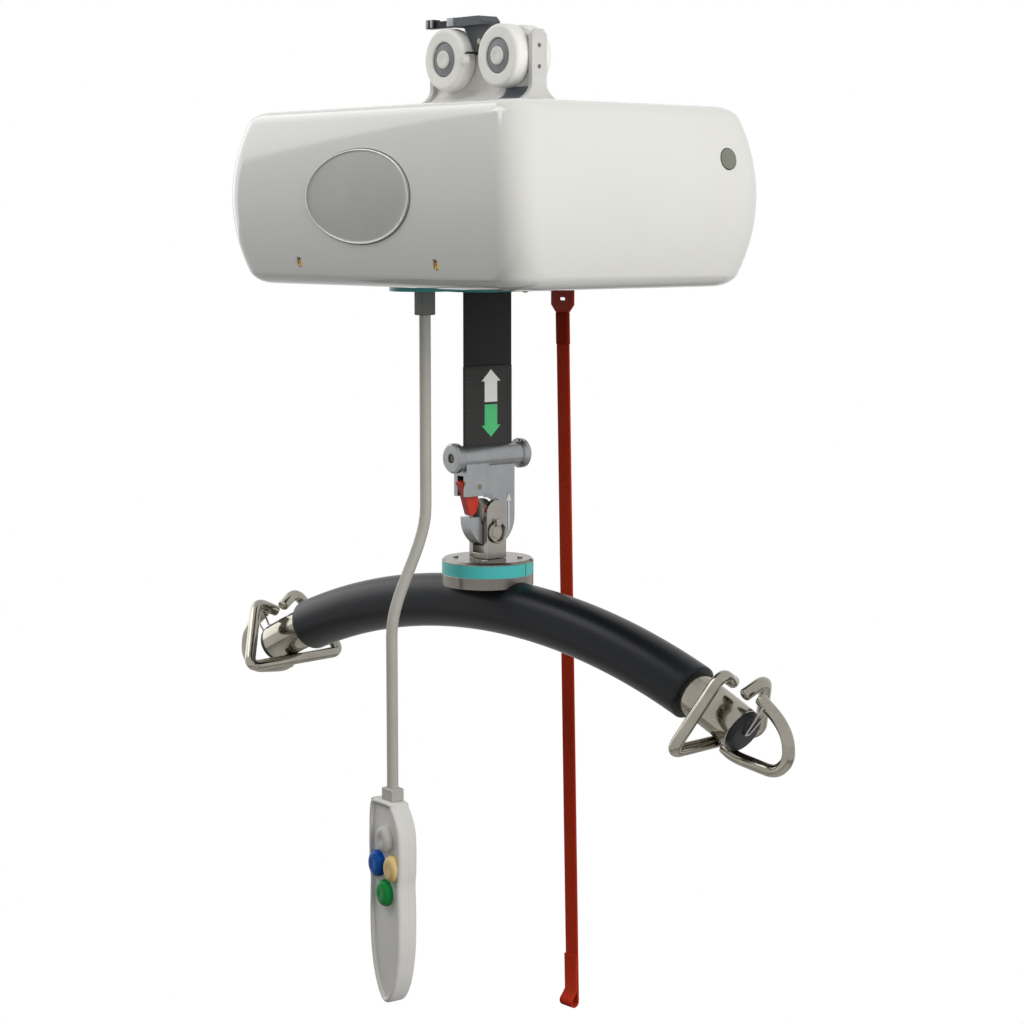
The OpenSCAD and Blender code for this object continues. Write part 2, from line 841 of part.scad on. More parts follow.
// Dark liner that fills the foot between the skirt and an end plate
module saddle_liner() {
    color("slategray") difference() {
        for (turn = [0, 180])
            rotate([0, 0, turn]) translate([(skirt_end + frame_x) / 2, 0, 0])
                along_x(frame_x - skirt_end) mirror([1, 0]) difference() {
                    foot_half(liner_drop);
                    translate([-over, casing_top - over]) square([web_t / 2 + over, casing_h]);
                }
        at_foot_screws() cylinder(r = foot_screw_r, h = foot_screw_l);
    }
}

// End plates of the trolley, flared at the foot
module end_plates() {
    bevel = 4;
    w = end_plate_w / 2;
    spread = foot_w / 2 - w;
    side = concat(
        [[w - bevel, end_plate_rise], [w, end_plate_rise - bevel]],
        [for (a = [90:-10:0]) [foot_w / 2 - spread * sin(a), casing_top + flare_h - flare_h * cos(a)]],
        [[foot_w / 2, casing_top]]
    );
    color("gainsboro") difference() {
        for (turn = [0, 180])
            rotate([0, 0, turn]) translate([end_x - end_plate_t / 2, 0, 0]) along_x(end_plate_t)
                polygon(concat(side, [for (i = [len(side) - 1:-1:0]) [-side[i][0], side[i][1]]]));
        at_foot_screws() translate([0, 0, -over]) cylinder(r = foot_screw_r, h = foot_screw_l);
        accessory_holes();
    }
}

// Screws of the trolley: feet of the end plates, frame bolts and the pickup's screw
module trolley_screws() {
    color("darkgray") {
        at_foot_screws() union() {
            cylinder(r = foot_screw_r, h = foot_screw_l - over);
            translate([0, 0, -foot_screw_head_t]) cylinder(r = foot_screw_head_r, h = foot_screw_head_t);
        }
        at_frame_bolts() union() {
            translate([0, 0, roof_z - frame_t])
                cylinder(r = frame_bolt_r, h = frame_t + casing_wall + frame_bolt_depth);
            translate([0, 0, roof_z - frame_t - frame_bolt_head_t])
                cylinder(r = frame_bolt_head_r, h = frame_bolt_head_t);
        }
        translate([0, 0, pickup_screw_z]) union() {
            bar_y(pickup_screw_r / 2, -web_t / 2 - pickup_plate_t, -over);
            bar_y(pickup_screw_r, -web_t / 2 - pickup_plate_t - over, -web_t / 2 - pickup_plate_t);
        }
    }
}

// Two axles with a round head at each end
module wheel_axles() {
    head_y = wheel_y + wheel_w - wheel_recess;
    color("white") for (x = [-wheelbase / 2, wheelbase / 2])
        translate([x, 0, 0]) union() {
            bar_y(axle_d / 2, -head_y, head_y);
            bar_y(axle_head_d / 2, head_y, head_y + axle_head_t);
            bar_y(axle_head_d / 2, -head_y - axle_head_t, -head_y);
        }
}

// Four sealed bearings on the axles
module wheel_bearings() {
    color("slategray") for (turn = [0, 180])
        for (x = [-wheelbase / 2, wheelbase / 2])
            rotate([0, 0, turn]) translate([x, 0, 0]) difference() {
                bar_y(bearing_d / 2, wheel_y + wheel_recess, wheel_y + wheel_w - wheel_recess);
                bar_y(axle_d / 2, wheel_y, wheel_y + wheel_w);
            }
}

// One wheel with a rounded outer edge, on the +Y side of an axle
module wheel(x, side) {
    r = wheel_d / 2;
    inner_edge = 2;
    outer_edge = 6;
    bore = bearing_d / 2 + run_gap;
    outline = concat(
        [[bore, 0], [r - inner_edge, 0], [r, inner_edge]],
        [for (a = [0:18:90])
            [r - outer_edge + outer_edge * cos(a), wheel_w - outer_edge + outer_edge * sin(a)]],
        [[bore, wheel_w]]
    );
    color("ivory") mirror([0, side < 0 ? 1 : 0, 0]) translate([x, wheel_y, 0]) rotate([-90, 0, 0])
        rotate_extrude() polygon(outline);
}
module wheel_front_left() {
    wheel(-wheelbase / 2, -1);
}
module wheel_front_right() {
    wheel(wheelbase / 2, -1);
}
module wheel_back_left() {
    wheel(-wheelbase / 2, 1);
}
module wheel_back_right() {
    wheel(wheelbase / 2, 1);
}

// Body of the charging pickup, with a plate between the wheels
module pickup_body() {
    y = -web_t / 2;
    plate_shares = [[-0.15, 0.1], [0.15, 0.1], [0.46, 0.75], [0.61, 1], [-0.61, 1], [-0.46, 0.75]];
    bevel = 4;
    color("dimgray") difference() {
        union() {
            along_y(pickup_front, pickup_back) polygon([
                [pickup_left, pickup_z], [pickup_right, pickup_z],
                [pickup_right, pickup_z + pickup_h - bevel], [pickup_right - bevel, pickup_z + pickup_h],
                [pickup_left, pickup_z + pickup_h]
            ]);
            along_y(y - pickup_plate_t, y)
                polygon([for (p = plate_shares) [p[0] * wheelbase / 2, p[1] * pickup_z]]);
            block([-pickup_plate_t, y, web_top], [pickup_plate_t, -y, pickup_z]);
        }
        translate([0, 0, pickup_screw_z]) bar_y(pickup_screw_r / 2, -wheel_gap - pickup_plate_t, 0);
    }
}

// Contact arm of the charging pickup along the track, with a shoe at its end
module pickup_arm() {
    left = pickup_left - pickup_arm_l;
    back = pickup_front + pickup_arm_w;
    color("black") union() {
        block(
            [left, pickup_front + pickup_recess, pickup_z],
            [pickup_left, back, pickup_z + pickup_h - pickup_recess]
        );
        block([left, pickup_front, pickup_z], [left + pickup_shoe_l, back, pickup_z + pickup_h]);
    }
}

// Drum that the strap winds on
module drum() {
    y = strap_w / 2 + move_gap;
    color("lightgray") translate([drum_x, 0, drum_z]) difference() {
        union() {
            bar_y(drum_core_d / 2, -y, y);
            bar_y(drum_flange_r, y, y + drum_flange_t);
            bar_y(drum_flange_r, -y - drum_flange_t, -y);
        }
        bar_y(shaft_d / 2, -strap_w, strap_w);
    }
}

// Strap wound on the drum
module strap_coil() {
    color("black") translate([drum_x, 0, drum_z]) difference() {
        bar_y(coil_r, -strap_w / 2, strap_w / 2);
        bar_y(drum_core_d / 2, -strap_w, strap_w);
    }
}

// Shaft of the drum
module drum_shaft() {
    color("silver") translate([drum_x, 0, drum_z])
        bar_y(shaft_d / 2, -frame_y - frame_t - shaft_beyond, frame_y + frame_t + shaft_into_gearbox);
}

// Single strap from the drum to the sewn end
module lift_strap() {
    color("black") block([-strap_t / 2, -strap_w / 2, seam_strap_z], [strap_t / 2, strap_w / 2, drum_z]);
}

// Doubled end of the strap, with the eye that the hanger's pin passes through
module strap_end() {
    color("black") difference() {
        union() {
            block([-doubled_t / 2, -strap_w / 2, bar_z], [doubled_t / 2, strap_w / 2, seam_strap_z]);
            translate([0, 0, bar_z]) bar_y(strap_eye_r, -strap_w / 2, strap_w / 2);
        }
        translate([0, 0, bar_z]) bar_y(strap_pin_r, -strap_w, strap_w);
    }
}

// Outline of the hook plate in Y and Z
module hook_outline() {
    lean = asin((bowl_r - seat_r) / bowl_rise);
    difference() {
        union() {
            translate([-hook_back, hook_round_z]) square([hook_w, bar_z - hook_round_z]);
            translate([0, hook_round_z]) circle(hook_back);
        }
        translate([0, pin_z]) circle(seat_r);
        translate([0, pin_z + bowl_rise]) circle(bowl_r);
        polygon([
            [bowl_r * cos(lean), pin_z + bowl_rise + bowl_r * sin(lean)],
            [seat_r * cos(lean), pin_z + seat_r * sin(lean)],
            [-seat_r * cos(lean), pin_z + seat_r * sin(lean)],
            [-bowl_r * cos(lean), pin_z + bowl_rise + bowl_r * sin(lean)]
        ]);
        translate([-hook_w, mouth_bottom]) square([hook_w, mouth_top - mouth_bottom]);
    }
}

// Casting with the bar for the strap and the hook under it
module hanger_body() {
    end = bar_l / 2;
    color("darkgray") difference() {
        union() {
            translate([0, 0, bar_z]) bar_y(bar_d / 2, -end, end);
            for (turn = [0, 180])
                rotate([0, 0, turn]) translate([0, end - collar_w, bar_z]) rotate([-90, 0, 0])
                    rotate_extrude() polygon([
                        [0, 0], [collar_d / 2 - collar_edge, 0], [collar_d / 2, collar_edge],
                        [collar_d / 2, collar_w - collar_edge], [collar_d / 2 - collar_edge, collar_w],
                        [0, collar_w]
                    ]);
            along_x(hook_t) hook_outline();
            block([-housing_t / 2, -hook_back - housing_out, mouth_top], [housing_t / 2, housing_right, bar_z]);
        }
        translate([0, 0, bar_z]) bar_y(bar_bore_r, -strap_w / 2 - move_gap, strap_w / 2 + move_gap);
        translate([0, 0, bar_z]) bar_y(strap_pin_r, -end - over, end - collar_w);
        translate([0, 0, bar_z]) bar_y(hanger_screw_r, -end - over, -end + hanger_screw_depth);
        block(
            [-doubled_t / 2 - move_gap, -strap_w / 2 - move_gap, bar_z],
            [doubled_t / 2 + move_gap, strap_w / 2 + move_gap, bar_z + bar_d]
        );
        block(
            [-latch_slot_t / 2, -hook_w, mouth_top - over],
            [latch_slot_t / 2, housing_right - move_gap, latch_z + 2 * latch_boss_r]
        );
        translate([0, latch_y, latch_z]) bar_x(latch_pin_r, 2 * housing_t);
    }
}

// Pin through the strap's eye, with its head in the near collar
module strap_pin() {
    end = bar_l / 2;
    color("dimgray") translate([0, 0, bar_z]) union() {
        bar_y(strap_pin_r, -end + hanger_screw_depth, end - collar_w);
        bar_y(hanger_screw_r, -end + over, -end + hanger_screw_depth);
    }
}

// Pivot pin of the latch
module latch_pin() {
    color("olive") translate([0, latch_y, latch_z]) bar_x(latch_pin_r, housing_t);
}

// Red latch that closes the hook's mouth, with a thumb tab
module hook_latch() {
    latch_shares = [
        [-0.67, 0.17], [-0.5, 0.23], [-0.34, 0.08], [-0.17, 0.14], [0.08, -0.29], [0.12, -0.58], [0, -0.87],
        [-0.17, -0.98], [-0.27, -0.93], [-0.42, -0.46], [-0.54, -0.1]
    ];
    color("crimson") translate([0, latch_y, latch_z]) difference() {
        union() {
            along_x(latch_t) polygon(latch_reach * latch_shares);
            bar_x(latch_boss_r, latch_t);
        }
        bar_x(latch_pin_r + run_gap, housing_t);
    }
}

// Fork that hangs in the hook, with the stem that the disc turns on
module swivel_fork() {
    base_z = disc_top + fork_lift;
    color("rosybrown") difference() {
        union() {
            for (x = [-ear_out, ear_in])
                translate([x + ear_t / 2, 0, 0]) along_x(ear_t) union() {
                    translate([-ear_w / 2, base_z]) square([ear_w, pin_z + ear_rise - ear_w / 2 - base_z]);
                    translate([0, pin_z + ear_rise - ear_w / 2]) circle(ear_w / 2);
                }
            block([-ear_out, -ear_w / 2, base_z], [ear_out, ear_w / 2, base_z + fork_base_t]);
            translate([0, 0, disc_top - stem_l]) cylinder(r = stem_r, h = stem_l + fork_lift + over);
            translate([ear_out - over, -lug_w / 2, pin_z + ring_r - lug_w / 2])
                cube([lug_t + over, lug_w, lug_w]);
        }
        translate([0, 0, pin_z]) bar_x(fork_pin_d / 2, 4 * ear_out);
        ring(ring_wire_r + slip_gap);
    }
}

// Pin that rests in the hook's bowl
module fork_pin() {
    color("tan") translate([0, 0, pin_z]) bar_x(fork_pin_d / 2, 2 * (ear_out + pin_end));
}

// Ring round the fork pin's end, of a given wire radius
module ring(r) {
    translate([ear_out + lug_t / 2, 0, pin_z]) rotate([0, 90, 0])
        rotate_extrude() translate([ring_r, 0]) circle(r);
}

// Split ring through the lug on the fork's ear
module split_ring() {
    color("tan") ring(ring_wire_r);
}

// Nut under the swivel disc
module swivel_nut() {
    color("silver") translate([0, 0, disc_top - stem_l]) difference() {
        cylinder(r = nut_r, h = nut_h, $fn = 6);
        translate([0, 0, -over]) cylinder(r = stem_r, h = nut_h + 2 * over);
    }
}

// Place on the spreader bar: children stand on the tube's axis with X outward and Z up
module on_arc(angle, turn) {
    rotate([0, 0, spreader_turn + turn]) translate([0, 0, crest_z - bend_r]) rotate([0, angle, 0])
        translate([0, 0, bend_r]) children();
}

// Bent round bar along the spreader
module bent_bar(r, angle) {
    rotate([0, 0, spreader_turn]) translate([0, 0, crest_z - bend_r]) rotate([90, 0, 0])
        rotate([0, 0, 90 - angle]) rotate_extrude(angle = 2 * angle) translate([bend_r, 0]) circle(r);
}

// Disc that carries the spreader bar and turns on the fork's stem
module swivel_disc() {
    r = disc_d / 2;
    band_top = disc_h - band_drop;
    color("rosybrown") difference() {
        union() {
            translate([0, 0, disc_bottom]) rotate_extrude() polygon([
                [0, 0], [r, 0], [r, band_top - band_h], [r - band_t, band_top - band_h],
                [r - band_t, band_top], [r, band_top], [r, disc_h - disc_edge],
                [r - disc_edge, disc_h], [0, disc_h]
            ]);
            translate([0, 0, crest_z]) cylinder(r = post_r, h = disc_bottom - crest_z + over);
        }
        difference() {
            bent_bar(sleeve_r + slip_gap, sleeve_angle / 2);
            translate([0, 0, crest_z - over]) cylinder(r = post_r, h = disc_d);
        }
        bent_bar(tube_r, sleeve_angle / 2);
        translate([0, 0, disc_bottom - disc_h]) cylinder(r = stem_r + run_gap, h = 3 * disc_h);
        translate([0, 0, crest_z]) cylinder(r = cavity_r, h = disc_top - stem_l + nut_h + move_gap - crest_z);
        at_disc_screws() translate([0, 0, -disc_screw_l])
            cylinder(r = disc_screw_r / 2, h = disc_screw_l + over);
    }
}

// Places of the four screws on top of the disc
module at_disc_screws() {
    for (turn = [45:90:315])
        rotate([0, 0, turn]) translate([disc_screw_at, 0, disc_top]) children();
}

// Plain teal band round the disc, with a slit where its ends meet
module load_band() {
    r = disc_d / 2;
    z = disc_top - band_drop - band_h;
    color("lightseagreen") difference() {
        translate([0, 0, z]) cylinder(r = r, h = band_h);
        translate([0, 0, z - over]) cylinder(r = r - band_t, h = band_h + 2 * over);
        rotate([0, 0, spreader_turn + band_slit_turn])
            block([0, -band_slit / 2, z - over], [disc_d, band_slit / 2, z + band_h + over]);
    }
}

// Four small screws on top of the disc
module disc_screws() {
    color("silver") at_disc_screws() union() {
        cylinder(r = disc_screw_r, h = disc_screw_head_t);
        translate([0, 0, -disc_screw_l + over]) cylinder(r = disc_screw_r / 2, h = disc_screw_l - over);
    }
}

// Bent tube of the spreader bar
module spreader_tube() {
    color("rosybrown") difference() {
        bent_bar(tube_r, end_angle);
        bent_bar(tube_r - tube_wall, end_angle + over_angle);
    }
}

// Rubber sleeve over the middle of the tube
module spreader_sleeve() {
    color("black") difference() {
        bent_bar(sleeve_r, sleeve_angle);
        bent_bar(tube_r, sleeve_angle + over_angle);
        translate([0, 0, crest_z]) cylinder(r = post_r + slip_gap, h = disc_d);
    }
}

// Black plugs in the ends of the tube
module end_caps() {
    spigot_r = tube_r - tube_wall - slip_gap;
    color("black") for (turn = [0, 180])
        on_arc(end_angle, turn) rotate([0, 90, 0]) rotate_extrude() polygon([
            [0, -spigot_l], [spigot_r, -spigot_l], [spigot_r, 0], [cap_r, 0],
            [cap_r, cap_t - cap_edge], [cap_r - cap_edge, cap_t], [0, cap_t]
        ]);
}

// Hook beyond each end of the tube, with its tip turned back
module axial_hooks() {
    color("wheat") for (turn = [0, 180])
        on_arc(end_angle, turn) difference() {
            rod(bent(end_rod, end_bend, bend_steps), rod_r, rod_sides, [0, 1, 0]);
            translate(hinge) bar_y(gate_r + run_gap, -rod_d, rod_d);
        }
}

// Rod under each end of the tube with a hook to both sides
module side_hooks() {
    color("wheat") for (turn = [0, 180])
        on_arc(side_angle, turn) rod(bent(side_rod, side_bend, bend_steps), rod_r, rod_sides, [1, 0, 0]);
}

// Wire gate of an end hook: both ends turn in the hook's tip, its foot rests near the cap
module gate(turn) {
    path = [
        [hinge[0], -rod_r + gate_sink, hinge[2]], [hinge[0], -gate_half, hinge[2]],
        [gate_u, -gate_foot_half, 0], [gate_u, gate_foot_half, 0],
        [hinge[0], gate_half, hinge[2]], [hinge[0], rod_r - gate_sink, hinge[2]]
    ];
    color("wheat") on_arc(end_angle, turn)
        rod(bent(path, gate_bend, bend_steps), gate_r, gate_sides, [1, 0, 0]);
}
module gate_right() {
    gate(0);
}
module gate_left() {
    gate(180);
}

// Plug where the handset's cord leaves the exit plate
module cord_plug() {
    color("dimgray") block(
        [plug_x - plug_wide / 2, plug_y - plug_deep / 2, plug_bottom],
        [plug_x + plug_wide / 2, plug_y + plug_deep / 2, plate_z]
    );
}

// Cord from the plug to the handset, eased over from one upright to the next
module handset_cord() {
    route = concat(
        [for (i = [0:cord_steps - 1]) let (t = i / cord_steps)
            [plug_x, plug_y, (1 - t) * plug_bottom + t * cord_bend_top]],
        [for (i = [0:cord_steps]) let (t = i / cord_steps, e = ease(t))
            [
                (1 - e) * plug_x + e * handset_x,
                (1 - e) * plug_y + e * handset_y,
                cord_bend_top - t * cord_eased
            ]],
        [for (i = [1:cord_steps]) let (t = i / cord_steps)
            [handset_x, handset_y, (1 - t) * cord_bend_low + t * grip_top]]
    );
    color("silver") rod(route, cord_d / 2, cord_sides, [1, 0, 0]);
}

// Children in the handset's own place: front towards -Y, top at zero
module at_handset() {
    translate([handset_x, handset_y, handset_top]) rotate([0, 0, handset_turn]) children();
}

// Block where the cord enters the handset
module cord_grip() {
    color("silver") at_handset()
        block([-grip_wide / 2, -grip_deep / 2, 0], [grip_wide / 2, grip_deep / 2, grip_h]);
}

// Outline of the handset, pulled in by a distance: a sloped shoulder on one side, a square one on the other
function handset_half(shoulder, inward) = [for (p = concat(shoulder, lower_shares))
    [max(inward / 2, p[1] * handset_w / 2 - inward), -inward - p[0] * (handset_l - 2 * inward)]];
module handset_shape(inward) {
    near = handset_half(sloped_shoulder, inward);
    far = handset_half(square_shoulder, inward);
    polygon(concat(near, [for (i = [len(far) - 1:-1:0]) [-far[i][0], far[i][1]]]));
}

// Places of the four buttons on the handset, as [across, up]
button_at = [[0, button_up], [-button_side, 0], [button_side, 0], [0, -button_up]];
button_z = -button_mid_share * handset_l;

// Front shell of the handset
module handset_front() {
    color("lightgray") at_handset() difference() {
        along_y(-half_handset, 0) handset_shape(0);
        along_y(-half_handset + handset_wall, over) handset_shape(handset_wall);
        for (p = button_at)
            translate([p[0], 0, button_z + p[1]]) along_y(-handset_t, 0)
                polygon(oval(button_w / 2 + slip_gap, button_h / 2 + slip_gap));
    }
}

// Back shell of the handset, with a ledge for the board
module handset_back() {
    color("lightgray") at_handset() difference() {
        along_y(0, half_handset) handset_shape(0);
        along_y(-over, board_t) handset_shape(handset_wall);
        along_y(0, half_handset - handset_wall) handset_shape(handset_wall + handset_ledge);
    }
}

// Circuit board held between the two shells
module handset_board() {
    color("seagreen") at_handset() along_y(0, board_t) handset_shape(handset_wall);
}

// One button: dome outside, stem inside
module button(i) {
    p = button_at[i];
    face = -half_handset;
    inside = -half_handset + handset_wall + move_gap;
    rx = button_w / 2;
    ry = button_h / 2;
    paint = ["lightgray", "royalblue", "khaki", "green"][i];
    color(paint) at_handset() translate([p[0], 0, button_z + p[1]]) union() {
        for (s = dome_shares)
            along_y(face - s[2] * button_rise, face - s[1] * button_rise) polygon(oval(rx * s[0], ry * s[0]));
        along_y(face, inside) polygon(oval(rx, ry));
        bar_y(button_stem, inside, -button_free);
    }
}
module button_top() {
    button(0);
}
module button_left() {
    button(1);
}
module button_right() {
    button(2);
}
module button_bottom() {
    button(3);
}

// Moulded tab of the pull strap, with a cross-bar inside the casing
module pull_tab() {
    low = plate_z - pull_tab_l;
    w = pull_tab_w / 2;
    color("firebrick") translate([0, pull_y, 0]) difference() {
        union() {
            block([-w, -pull_tab_t / 2, low + pull_neck], [w, pull_tab_t / 2, pull_top]);
            along_y(-pull_tab_t / 2, pull_tab_t / 2) polygon([
                [-w, low + pull_neck], [w, low + pull_neck], [pull_w / 2, low], [-pull_w / 2, low]
            ]);
            translate([-pull_bar_w / 2, -pull_bar_t / 2, pull_top - pull_bar_h])
                cube([pull_bar_w, pull_bar_t, pull_bar_h]);
        }
        block(
            [-pull_slot_w / 2, -pull_tab_t, plate_z - pull_slot_w - pull_slot_h],
            [pull_slot_w / 2, pull_tab_t, plate_z - pull_slot_w]
        );
    }
}

// Red strap under the tab, ending in a sewn loop
module pull_strap() {
    low = plate_z - pull_tab_l;
    l = pull_l - pull_tab_l;
    lean = [asin(pull_lean_y / l), -asin(pull_lean_x / l), 0];
    color("firebrick") translate([0, pull_y, low]) rotate(lean) difference() {
        union() {
            block([-pull_w / 2, -pull_t / 2, -l + pull_loop_r], [pull_w / 2, pull_t / 2, 0]);
            block([-pull_w / 2, -pull_t, -pull_sewn_l / 2], [pull_w / 2, pull_t / 2, -over]);
            block([-pull_w / 2, -pull_t, -l + pull_loop_r], [pull_w / 2, pull_t / 2, -l + pull_sewn_l]);
            translate([0, -pull_loop_r + pull_t / 2, -l + pull_loop_r]) bar_x(pull_loop_r, pull_w);
        }
        translate([0, -pull_loop_r + pull_t / 2, -l + pull_loop_r])
            bar_x(pull_loop_r - pull_loop_wall, pull_w + 2 * over);
    }
}

casing_cover();
casing_base();
exit_plate();
badge();
cover_screws();
indicator_lamps();
chassis_frame();
drum_bearings();
gearbox();
motor();
battery_packs();
control_board();
trolley_frame();
saddle_liner();
end_plates();
trolley_screws();
wheel_axles();
wheel_bearings();
wheel_front_left();
wheel_front_right();
wheel_back_left();
wheel_back_right();
pickup_body();
pickup_arm();
drum();
strap_coil();
drum_shaft();
lift_strap();
strap_end();
hanger_body();
strap_pin();
latch_pin();
hook_latch();
swivel_fork();
fork_pin();
split_ring();
swivel_nut();
swivel_disc();
load_band();
disc_screws();
spreader_tube();
spreader_sleeve();
end_caps();
axial_hooks();
side_hooks();
gate_right();
gate_left();
cord_plug();
handset_cord();
cord_grip();
handset_front();
handset_back();
handset_board();
button_top();
button_left();
button_right();
button_bottom();
pull_tab();
pull_strap();
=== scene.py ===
"""Ceiling track hoist: its looks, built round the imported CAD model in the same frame, in metres."""

import math

import bmesh
import bpy
from mathutils import Matrix, Vector
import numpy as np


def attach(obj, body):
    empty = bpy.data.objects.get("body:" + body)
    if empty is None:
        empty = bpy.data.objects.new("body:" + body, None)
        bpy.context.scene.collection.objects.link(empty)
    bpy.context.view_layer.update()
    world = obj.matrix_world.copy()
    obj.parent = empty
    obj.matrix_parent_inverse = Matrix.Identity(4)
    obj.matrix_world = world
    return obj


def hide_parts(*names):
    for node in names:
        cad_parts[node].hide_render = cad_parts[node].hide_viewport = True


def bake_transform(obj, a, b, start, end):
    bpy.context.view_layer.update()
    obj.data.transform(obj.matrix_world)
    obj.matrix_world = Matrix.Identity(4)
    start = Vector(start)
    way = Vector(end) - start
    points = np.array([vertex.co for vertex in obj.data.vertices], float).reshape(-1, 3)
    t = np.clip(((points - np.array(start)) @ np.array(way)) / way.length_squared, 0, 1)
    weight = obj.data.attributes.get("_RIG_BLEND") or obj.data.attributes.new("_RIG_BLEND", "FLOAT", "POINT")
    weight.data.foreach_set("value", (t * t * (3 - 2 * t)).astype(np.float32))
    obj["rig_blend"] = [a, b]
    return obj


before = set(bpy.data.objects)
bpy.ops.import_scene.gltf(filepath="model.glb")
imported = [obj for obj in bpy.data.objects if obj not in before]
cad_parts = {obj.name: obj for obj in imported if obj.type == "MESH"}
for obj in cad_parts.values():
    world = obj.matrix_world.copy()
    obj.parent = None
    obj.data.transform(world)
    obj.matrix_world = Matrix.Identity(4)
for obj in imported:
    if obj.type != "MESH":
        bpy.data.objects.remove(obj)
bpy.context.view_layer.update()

# Camera: a long lens about level with the casing's middle, off the corner between the badge side
# and the lens side, looking slightly down.
camera = bpy.data.objects.new("camera", bpy.data.cameras.new("camera"))
bpy.context.scene.collection.objects.link(camera)
bpy.context.scene.camera = camera
camera.data.sensor_width = 36
camera.data.lens = 82.617
camera.data.clip_start = 0.05
camera.data.clip_end = 60
camera.location = (1.43171, -1.21860, -0.12623)
back_to_camera = Vector((0.74895, -0.65106, 0.12325))
camera.rotation_euler = back_to_camera.to_track_quat("Z", "Y").to_euler()

# Handset cord: round cable in a soft grey PVC jacket, 9 mm thick. It leaves the plug under the
# casing, hangs straight, eases over towards the badge side and enters the grip of the handset.
MM = 0.001


def tint(code):
    """Linear colour of an sRGB hex code."""
    parts = [int(code[i:i + 2], 16) / 255 for i in (1, 3, 5)]
    return [c / 12.92 if c <= 0.04045 else ((c + 0.055) / 1.055) ** 2.4 for c in parts] + [1.0]


def add(tree, kind, inputs=(), **settings):
    """One node with its settings; an input takes a value or another node's output."""
    node = tree.nodes.new("ShaderNode" + kind)
    for name, value in settings.items():
        setattr(node, name, value)
    for name, value in dict(inputs).items():
        if isinstance(value, bpy.types.NodeSocket):
            tree.links.new(value, node.inputs[name])
        else:
            node.inputs[name].default_value = value
    return node


def grained(
    name, tones, patch, gloss, grain, relief, stretch=(1, 1, 1), edge=0.0, worn=None, **values,
):
    """A material whose colour drifts between two tones, with a fine grain in gloss and relief.

    Patch, grain, relief and edge are millimetres, gloss is a range of roughness, and stretch
    scales the grain along each axis. Edge softens sharp corners, and worn is the colour that they
    are rubbed to. The values are set on the shader's sockets of those names."""
    material = bpy.data.materials.new(name)
    material.use_nodes = True
    tree = material.node_tree
    shader = tree.nodes["Principled BSDF"]
    for socket, value in values.items():
        shader.inputs[socket.replace("_", " ")].default_value = value
    place = add(tree, "TexCoord").outputs["Object"]
    drift = add(tree, "TexNoise", {"Vector": place, "Scale": 1 / (patch * MM), "Detail": 3.0})
    ends = {0: drift.outputs["Fac"], 6: tint(tones[0]), 7: tint(tones[1])}
    shown = add(tree, "Mix", ends, data_type="RGBA").outputs[2]
    drawn = add(tree, "Mapping", {"Vector": place, "Scale": stretch}).outputs["Vector"]
    fine = add(tree, "TexNoise", {"Vector": drawn, "Scale": 1 / (grain * MM), "Detail": 4.0})
    rough = add(tree, "MapRange", {
        "Value": fine.outputs["Fac"], "From Min": 0.25, "From Max": 0.75,
        "To Min": gloss[0], "To Max": gloss[1],
    })
    bump = add(tree, "Bump", {"Height": fine.outputs["Fac"], "Distance": relief * MM})
    if edge:
        soft = add(tree, "Bevel", {"Radius": edge * MM}, samples=4).outputs["Normal"]
        tree.links.new(soft, bump.inputs["Normal"])
        if worn:
            flat = add(tree, "NewGeometry").outputs["Normal"]
            turn = add(tree, "VectorMath", {0: soft, 1: flat}, operation="DOT_PRODUCT")
            rub = add(tree, "MapRange", {
                "Value": turn.outputs["Value"], "From Min": 0.99, "From Max": 0.86,
                "To Min": 0.0, "To Max": 0.7,
            })
            ends = {0: rub.outputs["Result"], 6: shown, 7: tint(worn)}
            shown = add(tree, "Mix", ends, data_type="RGBA").outputs[2]
    tree.links.new(shown, shader.inputs["Base Color"])
    tree.links.new(rough.outputs["Result"], shader.inputs["Roughness"])
    tree.links.new(bump.outputs["Normal"], shader.inputs["Normal"])
    return material


def ring_faces(rings, sides):
    """Faces of a body made of rings of points, closed at both ends."""
    walls = []
    for i in range(rings - 1):
        for k in range(sides):
            near, far, after = i * sides, (i + 1) * sides, (k + 1) % sides
            walls.append((near + k, near + after, far + after, far + k))
    return walls + [tuple(range(sides)), tuple(range((rings - 1) * sides, rings * sides))]


def closed_loop(faces, rings, sides):
    """Faces of rings of points with the last ring joined to the first in place of the two ends."""
    last = (rings - 1) * sides
    seam = [(last + k, last + (k + 1) % sides, (k + 1) % sides, k) for k in range(sides)]
    return faces[:-2] + seam


def circle(radius, sides=24):
    """A round section."""
    turns = [2 * math.pi * k / sides for k in range(sides)]
    return [(radius * math.cos(a), radius * math.sin(a)) for a in turns]


